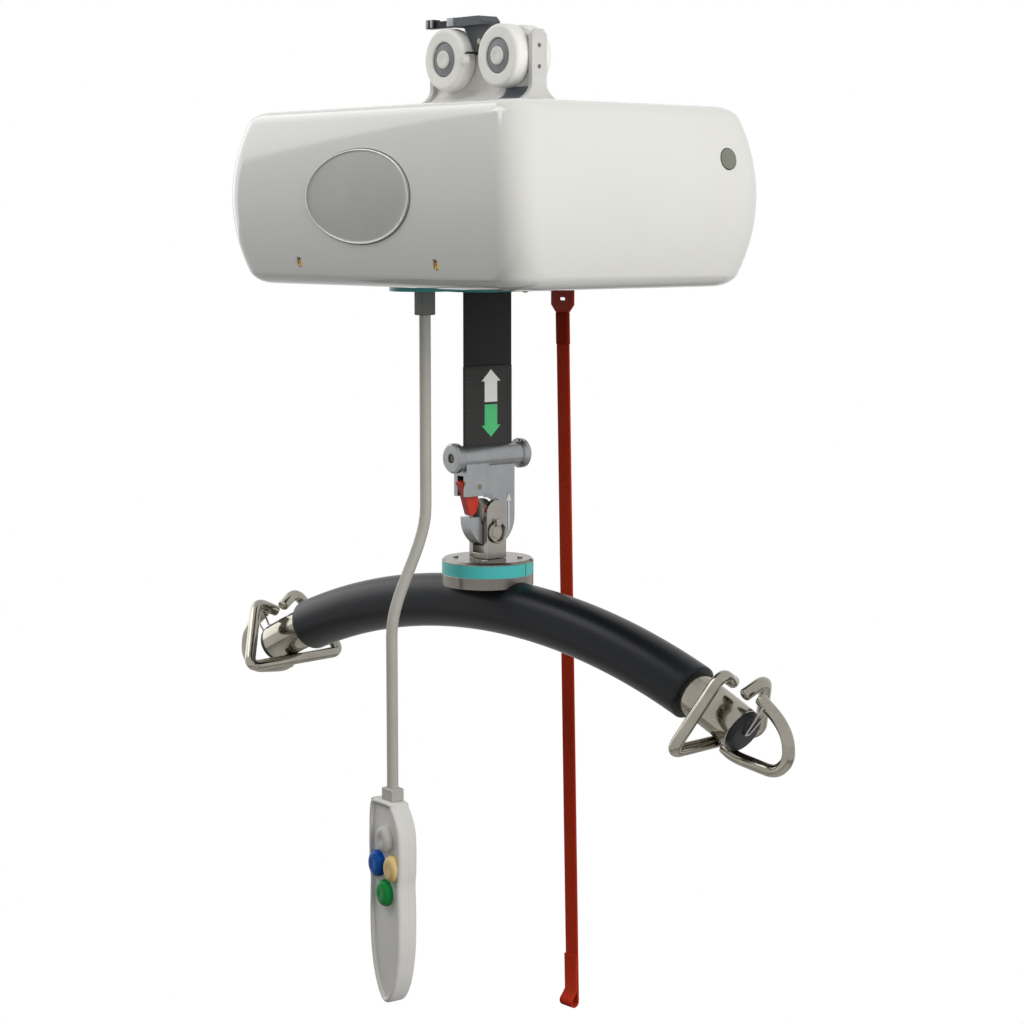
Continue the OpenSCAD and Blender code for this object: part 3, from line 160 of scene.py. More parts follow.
def swept(path, section, first, round_end=0.0, closed=False):
    """A section carried along a path, which may be a closed loop.

    First is where the section's first axis points, and round_end is the length of round ends."""
    places = [Vector(p) for p in path]
    sizes = [1.0] * len(places)
    if round_end:
        turns = [math.radians(a) for a in (25, 45, 60, 72, 82, 88)]
        head = (places[0] - places[1]).normalized() * round_end
        tail = (places[-1] - places[-2]).normalized() * round_end
        front = [places[0] + head * math.sin(a) for a in reversed(turns)]
        back = [places[-1] + tail * math.sin(a) for a in turns]
        sizes = [math.cos(a) for a in reversed(turns)] + sizes + [math.cos(a) for a in turns]
        places = front + places + back
    points = []
    side = Vector(first)
    for i, (p, size) in enumerate(zip(places, sizes)):
        after, before = min(i + 1, len(places) - 1), max(i - 1, 0)
        if closed:
            after, before = (i + 1) % len(places), i - 1
        along = (places[after] - places[before]).normalized()
        side = (side - side.dot(along) * along).normalized()
        over = along.cross(side)
        points += [p + size * (u * side + v * over) for u, v in section]
    faces = ring_faces(len(places), len(section))
    return points, closed_loop(faces, len(places), len(section)) if closed else faces


def make_piece(name, shape, body, material, stands_for=(), crease=35):
    """A mesh of points and faces in millimetres that rides on a body and stands for CAD nodes.

    Edges that turn by more than the crease in degrees stay sharp."""
    points, faces = shape
    mesh = bpy.data.meshes.new(name)
    mesh.from_pydata([Vector(p) * MM for p in points], [], faces)
    shell = bmesh.new()
    shell.from_mesh(mesh)
    bmesh.ops.remove_doubles(shell, verts=shell.verts, dist=1e-7)
    bmesh.ops.recalc_face_normals(shell, faces=shell.faces)
    shell.to_mesh(mesh)
    shell.free()
    mesh.shade_smooth()
    mesh.set_sharp_from_angle(angle=math.radians(crease))
    mesh.materials.append(material)
    piece = bpy.data.objects.new(name, mesh)
    bpy.context.scene.collection.objects.link(piece)
    if body:
        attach(piece, body)
    if stands_for:
        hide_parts(*stands_for)
    return piece


def ease(share):
    """A smooth step from 0 to 1."""
    return share * share * (3 - 2 * share)


plug_place, grip_place = Vector((-5, -60, 0)), Vector((-10, -91, 0))
cord_top, bend_top, bend_low, cord_low = -200, -351, -451, -574
straight_steps, bend_steps = 8, 14
cord_r = 4.6
cord_route = [
    plug_place + Vector((0, 0, cord_top + (bend_top - cord_top) * i / straight_steps))
    for i in range(straight_steps)
]
cord_route += [
    plug_place.lerp(grip_place, ease(i / bend_steps))
    + Vector((0, 0, bend_top + (bend_low - bend_top) * i / bend_steps))
    for i in range(bend_steps + 1)
]
cord_route += [
    grip_place + Vector((0, 0, bend_low + (cord_low - bend_low) * i / straight_steps))
    for i in range(1, straight_steps + 1)
]
# Soft PVC: a dull even grey with a faint sheen and a slight drift where hands have soiled it.
soft_pvc = grained(
    "soft_pvc", ("#a19f96", "#b5b3ab"), patch=30, gloss=(0.38, 0.5), grain=0.9, relief=0.03,
    IOR=1.5,
)
cord = make_piece(
    "handset_cable", swept(cord_route, circle(cord_r), (1, 0, 0)), "hoist", soft_pvc,
    ["handset_cord"],
)

# Red pull strap: woven polyester tape, 15 mm wide, folded and sewn to its tab above and to itself
# below, where its end makes a small loop. It hangs free.
pull_tab_low = Vector((0, 81, -201))
pull_end = Vector((3, 92, -785.9))
pull_down = (pull_end - pull_tab_low).normalized()
pull_length, pull_width, pull_thick = 585, 15, 2
fold_width, fold_thick = 15.6, 3.6
loop_r, loop_thick, hem_top = 4, 1.7, 40.0


def tape(width, thickness):
    """Flat section with round edges."""
    half = width / 2 - thickness / 2
    turns = [math.radians(a) for a in range(-90, 91, 30)]
    right = [(half + thickness / 2 * math.cos(a), thickness / 2 * math.sin(a)) for a in turns]
    return right + [(-u, -v) for u, v in right]


def woven(name, tones, along, rib, thread, depth, gloss, shade=0.8, **values):
    """Webbing with ribs across the run and threads along it, with painted shade in its grooves: shade
    is the factor that they are darkened to.

    Along names the axes of the run and the width; rib, thread and depth are millimetres. Blender
    repeats a wave of scale 1 every pi / 10."""
    material = grained(name, tones, patch=25, gloss=gloss, grain=0.8, relief=0.05, **values)
    tree = material.node_tree
    shader = tree.nodes["Principled BSDF"]
    place = add(tree, "TexCoord").outputs["Object"]
    ribs = add(tree, "TexWave", {
        "Vector": place, "Scale": math.pi / (10 * rib * MM), "Distortion": 0.6, "Detail": 1.0,
    }, bands_direction=along[0])
    threads = add(tree, "TexWave", {
        "Vector": place, "Scale": math.pi / (10 * thread * MM), "Distortion": 0.4, "Detail": 1.0,
    }, bands_direction=along[1])
    cloth = add(tree, "Mix", {0: 0.4, 2: ribs.outputs["Fac"], 3: threads.outputs["Fac"]})
    bump = add(tree, "Bump", {"Height": cloth.outputs[0], "Distance": depth * MM})
    painted_groove_shade = add(tree, "MapRange", {
        "Value": cloth.outputs[0], "From Min": 0.1, "From Max": 0.6, "To Min": shade, "To Max": 1.0,
    })
    colour = shader.inputs["Base Color"].links[0].from_socket
    shaded = add(
        tree, "VectorMath", {0: colour, "Scale": painted_groove_shade.outputs["Result"]}, operation="SCALE",
    )
    tree.links.new(shaded.outputs["Vector"], shader.inputs["Base Color"])
    tree.links.new(bump.outputs["Normal"], shader.inputs["Normal"])
    return material


# Polyester tape: dull red with a fine cross rib and painted shade in its grooves. The doubled fold
# under the tab is a darker copy: painted shade. The 0.8 mm rib is drawn at 1.6 mm to show.
tape_finish = dict(
    along=("Z", "X"), rib=1.6, thread=2.2, depth=0.12, gloss=(0.6, 0.75), IOR=1.55,
    Specular_IOR_Level=0.03,
)
red_tape = woven("red_polyester_tape", ("#b23018", "#c23c24"), **tape_finish)
shaded_red_tape = woven("red_tape_painted_shade", ("#962613", "#a62e1a"), **tape_finish)
pull_route = [pull_tab_low + pull_down * pull_length * i / 20 for i in range(21)]
loop_turns = [math.radians(a) for a in range(0, -241, -12)]
pull_loop = [(-loop_r + loop_r * math.cos(a), loop_r * math.sin(a)) for a in loop_turns]
pull_loop = [(0.0, 3.0)] + pull_loop + [(-1.75, 9.0), (-1.75, hem_top)]
pull_out = Vector((0, 1, 0)).cross(pull_down).cross(pull_down) * -1
loop_route = [pull_route[-1] + pull_out * y - pull_down * z for y, z in pull_loop]
pull_hem = make_piece(
    "pull_strap_loop", swept(loop_route, tape(pull_width, loop_thick), (1, 0, 0)), "pull",
    red_tape, crease=50,
)
doubled_route = [pull_tab_low + pull_down * z for z in (0.5, 9, 18, 26)]
pull_fold = make_piece(
    "pull_strap_fold", swept(doubled_route, tape(fold_width, fold_thick), (1, 0, 0), 0.6), "pull",
    shaded_red_tape, crease=50,
)
pull = make_piece(
    "pull_strap_tape", swept(pull_route, tape(pull_width, pull_thick), (1, 0, 0)), "pull",
    red_tape, ["pull_strap"], crease=50,
)

# Trolley wheels: four nylon wheels, 49 mm across, turned with a large round on the outer edge.
# Each runs on a sealed ball bearing pressed into it.
wheel_x, wheel_in, wheel_out, wheel_r, bearing_r = 32.75, 4.0, 18.0, 24.5, 13.9
inner_round, outer_round = 2, 3.5


def turned(profile, sides=72, ring=False):
    """A profile of (radius, height) turned about Z; a ring joins its last point to its first."""
    points = [(r * u, r * v, h) for r, h in profile for u, v in circle(1, sides)]
    faces = ring_faces(len(profile), sides)
    return points, closed_loop(faces, len(profile), sides) if ring else faces


def moved(shape, place):
    """A shape set down with a matrix in millimetres."""
    return [place @ Vector(p) for p in shape[0]], shape[1]


def arc(centre, radius, start, stop, steps):
    """Points of an arc in a profile, angles in degrees."""
    turns = [math.radians(start + (stop - start) * i / steps) for i in range(steps + 1)]
    return [(centre[0] + radius * math.cos(a), centre[1] + radius * math.sin(a)) for a in turns]


def at_wheel(x, side):
    """Place of a wheel: the profile's height runs outward from the trolley's middle."""
    return Matrix.Translation((x, 0, 0)) @ Matrix.Rotation(math.radians(-90 * side), 4, "X")


wheel_profile = [(bearing_r, wheel_in + 0.6), (bearing_r + 0.6, wheel_in)]
wheel_profile += arc((wheel_r - inner_round, wheel_in + inner_round), inner_round, -90, 0, 6)
wheel_profile += arc((wheel_r - outer_round, wheel_out - outer_round), outer_round, 0, 90, 12)
wheel_profile += [(wheel_r - 6, wheel_out), (bearing_r + 0.5, wheel_out)]
wheel_profile += [(bearing_r, wheel_out - 0.4)]
# Nylon: milky off-white, half dull, with fine turning marks and grey dirt in patches.
nylon = grained(
    "turned_nylon", ("#e6e5df", "#f2f1ec"), patch=14, gloss=(0.4, 0.55), grain=0.7, relief=0.02,
    IOR=1.53,
)
for corner, x, side in (
    ("front_left", -1, -1), ("front_right", 1, -1), ("back_left", -1, 1), ("back_right", 1, 1),
):
    make_piece(
        "trolley_wheel_" + corner,
        moved(turned(wheel_profile, ring=True), at_wheel(x * wheel_x, side)),
        corner + "_wheel", nylon, ["wheel_" + corner],
    )

# Wheel bearings: sealed ball bearings pressed into the wheels, a little below their faces. Ground
# steel races show as a thin dark ring round a slate rubber seal, their dark grey painted shade for
# the gap there.


def joined(*shapes):
    """Several shapes as one."""
    points, faces = [], []
    for more, corners in shapes:
        faces += [tuple(len(points) + k for k in face) for face in corners]
        points += list(more)
    return points, faces


def copies(shape, places):
    """One shape set down at several places, as one."""
    return joined(*[moved(shape, p) for p in places])


wheel_places = [at_wheel(x * wheel_x, side) for x in (-1, 1) for side in (-1, 1)]
race_profile = [(13.0, 5.3), (13.8, 5.3), (13.8, 15.9), (13.7, 16.0), (13.0, 16.0)]
seal_profile = [(5.2, 5.8), (13.0, 5.8), (13.0, 16.5), (12.7, 16.7), (8.6, 16.7), (8.3, 16.9)]
seal_profile += [(5.2, 16.9)]
# Ground steel: dark cool grey, darkened as painted shade for the gap round the bearing seals, with a
# soft shine and fine round marks.
ground_steel = grained(
    "ground_steel", ("#4f5256", "#686b6f"), patch=4, gloss=(0.25, 0.4), grain=0.4, relief=0.01,
    Metallic=1.0,
)
# Nitrile rubber: flat slate grey, powdery.
nitrile = grained(
    "nitrile_seal", ("#7a7c7f", "#929497"), patch=3, gloss=(0.55, 0.7), grain=0.5, relief=0.03,
    IOR=1.52,
)
make_piece(
    "bearing_races", copies(turned(race_profile, ring=True), wheel_places), "hoist", ground_steel,
    ["wheel_bearings"],
)
make_piece(
    "bearing_seals", copies(turned(seal_profile, ring=True), wheel_places), "hoist", nitrile,
)

# Axles: two steel axles through the trolley's web, with a moulded off-white head pressed on at
# each end that keeps the wheel on.
head_profile = [(0, 0), (5, 0), (5, 16.9)] + arc((6.1, 17.8), 0.9, -90, 0, 4)
head_profile += arc((5.9, 18.0), 1.1, 0, 90, 6) + [(2.6, 19.1), (2.2, 18.9), (0, 18.9)]
# Acetal: smooth, slightly waxy white.
acetal = grained(
    "moulded_acetal", ("#d8d6cf", "#e8e6e0"), patch=5, gloss=(0.3, 0.42), grain=0.6, relief=0.015,
    IOR=1.48,
)
make_piece(
    "axle_heads", copies(turned(head_profile), wheel_places), "hoist", acetal,
    ["wheel_axles"],
)

# Trolley casting: light die-cast web that carries the axles, with a flared foot on the casing.
# Painted end plates are screwed to both ends, a shade greyer as painted shade, and a dark moulded
# liner fills the foot behind them, its dark grey painted shade for the hollow there.


def eased_copy(node, body, width, material):
    """A copy of a CAD solid that replaces it, its sharp edges rounded by a width in millimetres."""
    sharp, crease, flat = math.radians(30), math.radians(40), math.radians(0.8)
    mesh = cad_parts[node].data.copy()
    mesh.name = node + "_eased"
    shell = bmesh.new()
    shell.from_mesh(mesh)
    bmesh.ops.remove_doubles(shell, verts=shell.verts, dist=2e-6)
    bmesh.ops.dissolve_limit(
        shell, angle_limit=flat, use_dissolve_boundaries=False, verts=shell.verts,
        edges=shell.edges, delimit=set(),
    )
    inner = [e for e in shell.edges if len(e.link_faces) == 2]
    bmesh.ops.bevel(
        shell, geom=[e for e in inner if e.calc_face_angle(0.0) > sharp], offset=width * MM,
        offset_type="OFFSET", segments=3, profile=0.5, affect="EDGES", clamp_overlap=True,
        miter_outer="ARC",
    )
    bmesh.ops.recalc_face_normals(shell, faces=shell.faces)
    shell.to_mesh(mesh)
    shell.free()
    for layer in [a for a in mesh.attributes if a.name == "custom_normal"]:
        mesh.attributes.remove(layer)
    mesh.shade_smooth()
    mesh.set_sharp_from_angle(angle=crease)
    mesh.materials.clear()
    mesh.materials.append(material)
    piece = bpy.data.objects.new(mesh.name, mesh)
    bpy.context.scene.collection.objects.link(piece)
    flats = piece.modifiers.new("flats", "WEIGHTED_NORMAL")
    flats.keep_sharp = True
    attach(piece, body)
    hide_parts(node)
    return piece


# Painted die casting: warm light grey, satin, with a faint orange peel and rubbed edges.
paint_finish = dict(patch=18, gloss=(0.35, 0.5), grain=1.1, relief=0.03, edge=0.5, IOR=1.5)
painted_casting = grained(
    "painted_die_casting", ("#d6d5d1", "#e3e2df"), worn="#e2e1dd", **paint_finish,
)
eased_copy("trolley_frame", "hoist", 0.5, painted_casting)
# Painted plate: the same paint, a shade greyer as painted shade.
shaded_plate_paint = grained(
    "steel_plate_painted_shade", ("#c2c1be", "#cfceca"), worn="#dddcd8", **paint_finish,
)
eased_copy("end_plates", "hoist", 0.8, shaded_plate_paint)
# Filled nylon moulding: slate grey, dull, finely pebbled; the slate grey is painted shade for the
# shaded hollow of the foot.
liner_painted_shade = grained(
    "filled_nylon_painted_shade", ("#5b626a", "#717880"), patch=9, gloss=(0.5, 0.65), grain=0.8,
    relief=0.05, edge=0.5, IOR=1.53,
)
eased_copy("saddle_liner", "hoist", 0.4, liner_painted_shade)

# Trolley screws: small zinc-plated machine screws, driven into the end plates, the frame and the
# pickup.
# Zinc plate: bright silvery grey, slightly yellow.
zinc_plate = grained(
    "zinc_plate", ("#8e8a80", "#a8a498"), patch=3, gloss=(0.28, 0.45), grain=0.5, relief=0.02,
    edge=0.3, Metallic=1.0,
)
eased_copy("trolley_screws", "hoist", 0.25, zinc_plate)

# Charging pickup: dark moulded body on a plate between the wheels, with a black contact arm along
# the track and pale contact blocks clipped on it.
# Glass-filled nylon: charcoal, dull, mottled by its fibres.
pickup_moulding = grained(
    "glass_filled_nylon", ("#2b2f33", "#4a5056"), patch=8, gloss=(0.4, 0.6), grain=0.7,
    relief=0.05, edge=0.5, IOR=1.53,
)
eased_copy("pickup_body", "hoist", 0.5, pickup_moulding)
# Black acetal: smooth, nearly black, with a soft sheen.
black_acetal = grained(
    "black_acetal", ("#121316", "#1c1e22"), patch=6, gloss=(0.3, 0.42), grain=0.6, relief=0.03,
    edge=0.4, IOR=1.48, Specular_IOR_Level=0.25,
)
eased_copy("pickup_arm", "hoist", 0.35, black_acetal)


def block(low, high, edge=0.0):
    """A block between two corners, with its edges rounded, as points and faces."""
    shell = bmesh.new()
    bmesh.ops.create_cube(shell, size=1)
    size = Vector(high) - Vector(low)
    middle = (Vector(high) + Vector(low)) / 2
    for v in shell.verts:
        v.co = Vector([v.co[i] * size[i] for i in range(3)]) + middle
    if edge:
        bmesh.ops.bevel(
            shell, geom=shell.edges[:], offset=edge, offset_type="OFFSET", segments=3, profile=0.5,
            affect="EDGES",
        )
    shell.verts.index_update()
    points = [v.co.copy() for v in shell.verts]
    faces = [tuple(v.index for v in f.verts) for f in shell.faces]
    shell.free()
    return points, faces


# Tin-plated contact: pale grey, dulled by sliding on the track.
tin_plate = grained(
    "tin_plate", ("#868b90", "#a4a9ad"), patch=3, gloss=(0.35, 0.5), grain=0.4, relief=0.02,
    Metallic=0.6,
)
contact_front, contact_back, contact_low, contact_top = -14.4, -6.7, 26.0, 32.55
contact_blocks = [
    block((start, contact_front, contact_low), (stop, contact_back, contact_top), 0.4)
    for start, stop in ((-59.3, -56.5), (-53.4, -50.8), (-32.8, -24.5))
]
make_piece("pickup_contacts", joined(*contact_blocks), "hoist", tin_plate)

# End-stop feeler: a bent steel wire fixed to the web between the wheels, with a small moulded
# roller at its tip that meets the end of the track.
feeler_x, feeler_r = -3.5, 0.9


def bent(path, cut, steps=10):
    """A path with its inner corners rounded off."""
    route = [Vector(path[0])]
    for a, b, c in zip(path, path[1:], path[2:]):
        a, b, c = Vector(a), Vector(b), Vector(c)
        start = b + (a - b).normalized() * min(cut, 0.45 * (a - b).length)
        stop = b + (c - b).normalized() * min(cut, 0.45 * (c - b).length)
        for j in range(steps + 1):
            t = j / steps
            route.append((1 - t) ** 2 * start + 2 * t * (1 - t) * b + t * t * stop)
    return route + [Vector(path[-1])]


feeler_route = bent([(feeler_x, -2.5, 4), (feeler_x, -19, 4), (feeler_x, -20.5, -0.5)], 2)
make_piece(
    "end_stop_wire", swept(feeler_route, circle(feeler_r, 12), (1, 0, 0), 0.5), "hoist",
    ground_steel,
)
roller_profile = [(0, -3)] + arc((2.9, -1.8), 1.2, -90, 0, 5)
roller_profile += arc((2.9, 1.8), 1.2, 0, 90, 5) + [(0, 3)]
roller_place = Matrix.Translation((feeler_x, -20.6, -1.2)) @ Matrix.Rotation(math.pi / 2, 4, "X")
make_piece(
    "end_stop_roller", moved(turned(roller_profile, 32), roller_place), "hoist", acetal,
)

# Casing: glossy moulded cover over a shallow base, both bulged outward and parted by a fine seam
# low on the sides. Four brass screws in small pockets hold the cover down.
half_length, half_width, half_height = 184, 130, 68.5
casing_middle, wall = -108.5, 3.0
bulge, edge_round, corner_round = 178, 15, 26
corner_share = 0.1
seam_drop, seam_open = 61.5, 0.5
edge_level = half_height - edge_round
edge_inset = bulge - math.sqrt((bulge - edge_round) ** 2 - edge_level ** 2)
bulge_turn = math.degrees(math.asin(edge_level / (bulge - edge_round)))
seam_turn = -math.degrees(math.asin((seam_drop - edge_level) / edge_round))


def casing_side(turn, inward):
    """Inset and level of the casing's side where it faces up by a turn in degrees."""
    a = math.radians(turn)
    if abs(turn) <= bulge_turn:
        return bulge - (bulge - inward) * math.cos(a), (bulge - inward) * math.sin(a)
    rise = math.copysign(edge_level, turn)
    reach = edge_round - inward
    return edge_inset - reach * math.cos(a), rise + reach * math.sin(a)


def casing_ring(inset, level):
    """Points round the casing at one level, with extra ones on the flats so they shade flat."""
    r = corner_round - corner_share * inset
    x, y = half_length - inset - r, half_width - inset - r
    signs = ((1, 1), (-1, 1), (-1, -1), (1, -1))
    flat_shares = (0.01, 0.05, 0.12, 0.25, 0.38, 0.5, 0.62, 0.75, 0.88, 0.95, 0.99)
    z = casing_middle + level
    ring = []
    for q in range(4):
        (sx, sy), (nx, ny) = signs[q], signs[(q + 1) % 4]
        for k in range(17):
            a = math.radians(90 * q + 90 * k / 16)
            ring.append(Vector((sx * x + r * math.cos(a), sy * y + r * math.sin(a), z)))
        start = ring[-1]
        stop = start + Vector(((nx - sx) * x, (ny - sy) * y, 0))
        ring += [start.lerp(stop, s) for s in flat_shares]
    return ring


def casing_shell(turns):
    """A closed shell of the casing's skin over a run of turns that starts at its rim."""
    outer = [casing_ring(*casing_side(t, 0)) for t in turns]
    inner = [casing_ring(*casing_side(t, wall)) for t in turns]
    rings = inner[::-1] + outer
    return [p for ring in rings for p in ring], ring_faces(len(rings), len(rings[0]))


def carve(piece, *shapes):
    """Cuts solids out of a piece."""
    cutters = [make_piece("cutter", shape, None, piece.data.materials[0]) for shape in shapes]
    for cutter in cutters:
        change = piece.modifiers.new("cut", "BOOLEAN")
        change.operation = "DIFFERENCE"
        change.solver = "EXACT"
        change.object = cutter
    carved = piece.evaluated_get(bpy.context.evaluated_depsgraph_get())
    made = bpy.data.meshes.new_from_object(carved)
    piece.modifiers.clear()
    piece.data = made
    made.shade_smooth()
    made.set_sharp_from_angle(angle=math.radians(35))
    for cutter in cutters:
        bpy.data.objects.remove(cutter)


# Gloss ABS: cool off-white, shiny, with a very shallow ripple from the mould and a breath of dust.
gloss_abs = grained(
    "gloss_moulded_abs", ("#dddcd6", "#e5e4df"), patch=120, gloss=(0.05, 0.09), grain=9,
    relief=0.004, IOR=1.54, Coat_Weight=0.3, Coat_Roughness=0.03,
)
cover_turns = [seam_turn + (-bulge_turn - seam_turn) * i / 4 for i in range(4)]
cover_turns += [-bulge_turn + 2 * bulge_turn * i / 44 for i in range(45)]
cover_turns += [bulge_turn + (90 - bulge_turn) * i / 18 for i in range(1, 19)]
cover = make_piece(
    "casing_cover_shell", casing_shell(cover_turns), "hoist", gloss_abs,
    ["casing_cover"],
)
base_turns = [seam_turn - seam_open - (90 + seam_turn - seam_open) * i / 14 for i in range(15)]
base = make_piece(
    "casing_base_shell", casing_shell(base_turns), "hoist", gloss_abs,
    ["casing_base"],
)
below_base, above_base = -185, -165
strap_slot = block((-3.5, -27, below_base), (3.5, 27, above_base))
tab_slot = block((-13.6, 78.9, below_base), (13.6, 83.1, above_base))
carve(base, strap_slot, tab_slot)

# Cover screws: brass-plated pan heads with a cross recess, each screwed in at the bottom of a
# round pocket low on a long side.
screw_x, screw_y, screw_z = 85, 122.6, -159.3
slot_half_l, slot_half_w, slot_floor = 1.9, 0.35, -2.0


def facing_side(x, y, z):
    """Place on a long side of the casing whose Z axis points outward."""
    turn = 90 if y < 0 else -90
    return Matrix.Translation((x, y, z)) @ Matrix.Rotation(math.radians(turn), 4, "X")


screw_places = [
    facing_side(x, side * screw_y, screw_z) for x in (-screw_x, screw_x) for side in (-1, 1)
]
pocket_profile = [(0, -2.7), (3.6, -2.7), (3.9, -2.3), (3.9, 0), (5.2, 2.2), (5.2, 8), (0, 8)]
carve(cover, *[moved(turned(pocket_profile, 40), p) for p in screw_places])
pan_profile = [(0, -2.9), (3.3, -2.9), (3.3, -2.2)] + arc((2.3, -2.2), 1.0, 0, 70, 5)
pan_profile += [(0, -1.1)]
# Brass plate: warm yellow, worn to a dull gold.
brass_plate = grained(
    "brass_plate", ("#a98a4c", "#c7a866"), patch=2, gloss=(0.25, 0.45), grain=0.5, relief=0.02,
    Metallic=1.0,
)
screws = make_piece(
    "cover_screw_heads", copies(turned(pan_profile, 32), screw_places), "hoist", brass_plate,
    ["cover_screws"],
)
for place in screw_places:
    for half_x, half_y in ((slot_half_l, slot_half_w), (slot_half_w, slot_half_l)):
        carve(screws, moved(block((-half_x, -half_y, slot_floor), (half_x, half_y, 0)), place))

# Badge: bare oval of satin anodised aluminium with a raised rim, bent to the bulge and glued on
# the long side. A polished bead runs inside its edge.
badge_half_l, badge_half_h, badge_sides = 65, 36, 96
badge_proud, badge_sunk = 0.65, 0.02
rim_share, rim_spread, rim_height = 0.965, 0.016, 0.7
edge_share, edge_width = 0.985, 0.015


def casing_inset(level):
    """Inset of the bulged side at a level above the casing's middle."""
    return bulge - math.sqrt(bulge ** 2 - level ** 2)


def badge_point(share, turn):
    """A point on the badge's face at a share of its outline."""
    x = share * badge_half_l * math.cos(turn)
    level = share * badge_half_h * math.sin(turn)
    rim = math.exp(-((share - rim_share) / rim_spread) ** 2) * rim_height
    fall = 1.0
    if share >= edge_share:
        fall = max(0.0, 1 - ((share - edge_share) / edge_width) ** 2)
    proud = (badge_proud + rim) * fall
    return x, -(half_width - casing_inset(level)) - proud + badge_sunk, casing_middle + level


def badge_ring(share):
    """Points of the badge's face round a share of its outline."""
    return [badge_point(share, 2 * math.pi * k / badge_sides) for k in range(badge_sides)]


badge_shares = [1, 0.997, 0.993, 0.988, 0.983, 0.977, 0.971, 0.965, 0.957, 0.949, 0.94, 0.92]
badge_shares += [0.85, 0.7, 0.5, 0.3, 0.12]
badge_points = [p for s in badge_shares for p in badge_ring(s)]
badge_shape = badge_points, ring_faces(len(badge_shares), badge_sides)
# Anodised aluminium: soft grey sheen, finely blasted.
anodised = grained(
    "satin_anodised_aluminium", ("#8f8f8d", "#9d9c9a"), patch=40, gloss=(0.38, 0.5), grain=0.5,
    relief=0.02, Metallic=0.5,
)
make_piece("oval_badge", badge_shape, "hoist", anodised, ["badge"])
# Polished aluminium: a bright thin line. Under the badge's edge runs a dark line, a painted shadow
# of the gap there.
polished_bead = grained(
    "polished_aluminium", ("#b9b9b6", "#cbcbc8"), patch=12, gloss=(0.2, 0.3), grain=0.6,
    relief=0.01, Metallic=0.8,
)
edge_shadow_paint = grained(
    "badge_painted_shadow", ("#4b4b49", "#5a5a58"), patch=6, gloss=(0.5, 0.6), grain=0.8, relief=0.02,
)
for name, share, radius, material in (
    ("badge_bead", 0.976, 0.5, polished_bead), ("badge_shadow_ring", 1.0, 0.45, edge_shadow_paint),
):
    bead = swept(badge_ring(share), circle(radius, 12), (0, 1, 0), closed=True)
    make_piece(name, bead, "hoist", material)

# Status lens and lamp: a smoked acrylic disc in a thin dark ring, pressed into the end of the
# casing, and a small amber lamp under the exit plate.
lens_y, lens_rise = 85, 28.2
lens_turn = math.asin(lens_rise / bulge)
lens_x = half_length - bulge + bulge * math.cos(lens_turn)
lens_place = Matrix.Translation((lens_x, lens_y, casing_middle + lens_rise))
lens_place = lens_place @ Matrix.Rotation(math.pi / 2 - lens_turn, 4, "Y")
lens_profile = [(0, -3), (8.0, -3), (8.0, 0.1)] + arc((7.5, 0.1), 0.5, 0, 90, 4)
lens_profile += [(3, 0.7), (0, 0.72)]
bezel_profile = [(8.0, -3), (8.5, -3), (8.5, 0.1), (8.4, 0.25), (8.1, 0.25), (8.0, 0.1)]
# Smoked acrylic: glassy olive grey.
smoked_acrylic = grained(
    "smoked_acrylic", ("#6c6d5e", "#7d7e70"), patch=8, gloss=(0.08, 0.16), grain=4, relief=0.01,
    IOR=1.49, Coat_Weight=0.4,
)
make_piece(
    "status_lens", moved(turned(lens_profile, 56), lens_place), "hoist", smoked_acrylic,
    ["indicator_lamps"],
)
make_piece(
    "lens_ring", moved(turned(bezel_profile, 56, True), lens_place), "hoist", black_acetal,
)
lamp_r, lamp_neck, lamp_dome = 2.6, -0.6, 1.4
lamp_place = Matrix.Translation((0, 40, -182.5))
lamp_profile = [(0, 1), (lamp_r, 1), (lamp_r, lamp_neck)]
lamp_profile += [
    (lamp_r * math.cos(a / 10), lamp_neck - lamp_dome * math.sin(a / 10)) for a in range(2, 16, 2)
]
# Amber acrylic: clear orange, glassy.
amber_acrylic = grained(
    "amber_acrylic", ("#c98a1c", "#e0a93a"), patch=3, gloss=(0.1, 0.2), grain=2, relief=0.01,
    IOR=1.49,
)
make_piece(
    "amber_lamp", moved(turned(lamp_profile, 32), lamp_place), "hoist", amber_acrylic,
)

# Exit plate: teal moulding screwed under the casing, where the strap, the cord and the pull strap
# come out.
# Satin ABS: even teal, slightly pebbled.
teal_abs = grained(
    "satin_teal_abs", ("#0d7f7c", "#149390"), patch=25, gloss=(0.32, 0.45), grain=0.9, relief=0.03,
    edge=0.5, IOR=1.54,
)
eased_copy("exit_plate", "hoist", 0.8, teal_abs)

# Drive inside the casing: bent steel frame bolted to the trolley, drum on two bearings, worm
# gearbox, motor, two battery packs and a circuit board. The handset's board is of the same kind.


def dress(node, material):
    """Gives a CAD solid that stays as it is a material."""
    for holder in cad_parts[node].material_slots:
        holder.material = material


# Galvanised sheet: pale blue-grey with a crystalline mottle.
galvanised = grained(
    "galvanised_sheet", ("#87909a", "#a6aeb6"), patch=6, gloss=(0.35, 0.55), grain=1.5,
    relief=0.02, edge=0.5, Metallic=0.9,
)
# Machine enamel: dark grey, half gloss, chipped pale on its edges.
machine_enamel = grained(
    "machine_enamel", ("#3e4247", "#4d5258"), patch=12, gloss=(0.4, 0.55), grain=1.0, relief=0.05,
    edge=0.8, worn="#777b80", IOR=1.5,
)
# Shrink wrap: dark blue film, softly shiny and a little wrinkled.
cell_wrap = grained(
    "battery_shrink_wrap", ("#23303a", "#2e3d49"), patch=20, gloss=(0.3, 0.45), grain=2.0,
    relief=0.03, edge=0.6, IOR=1.5,
)
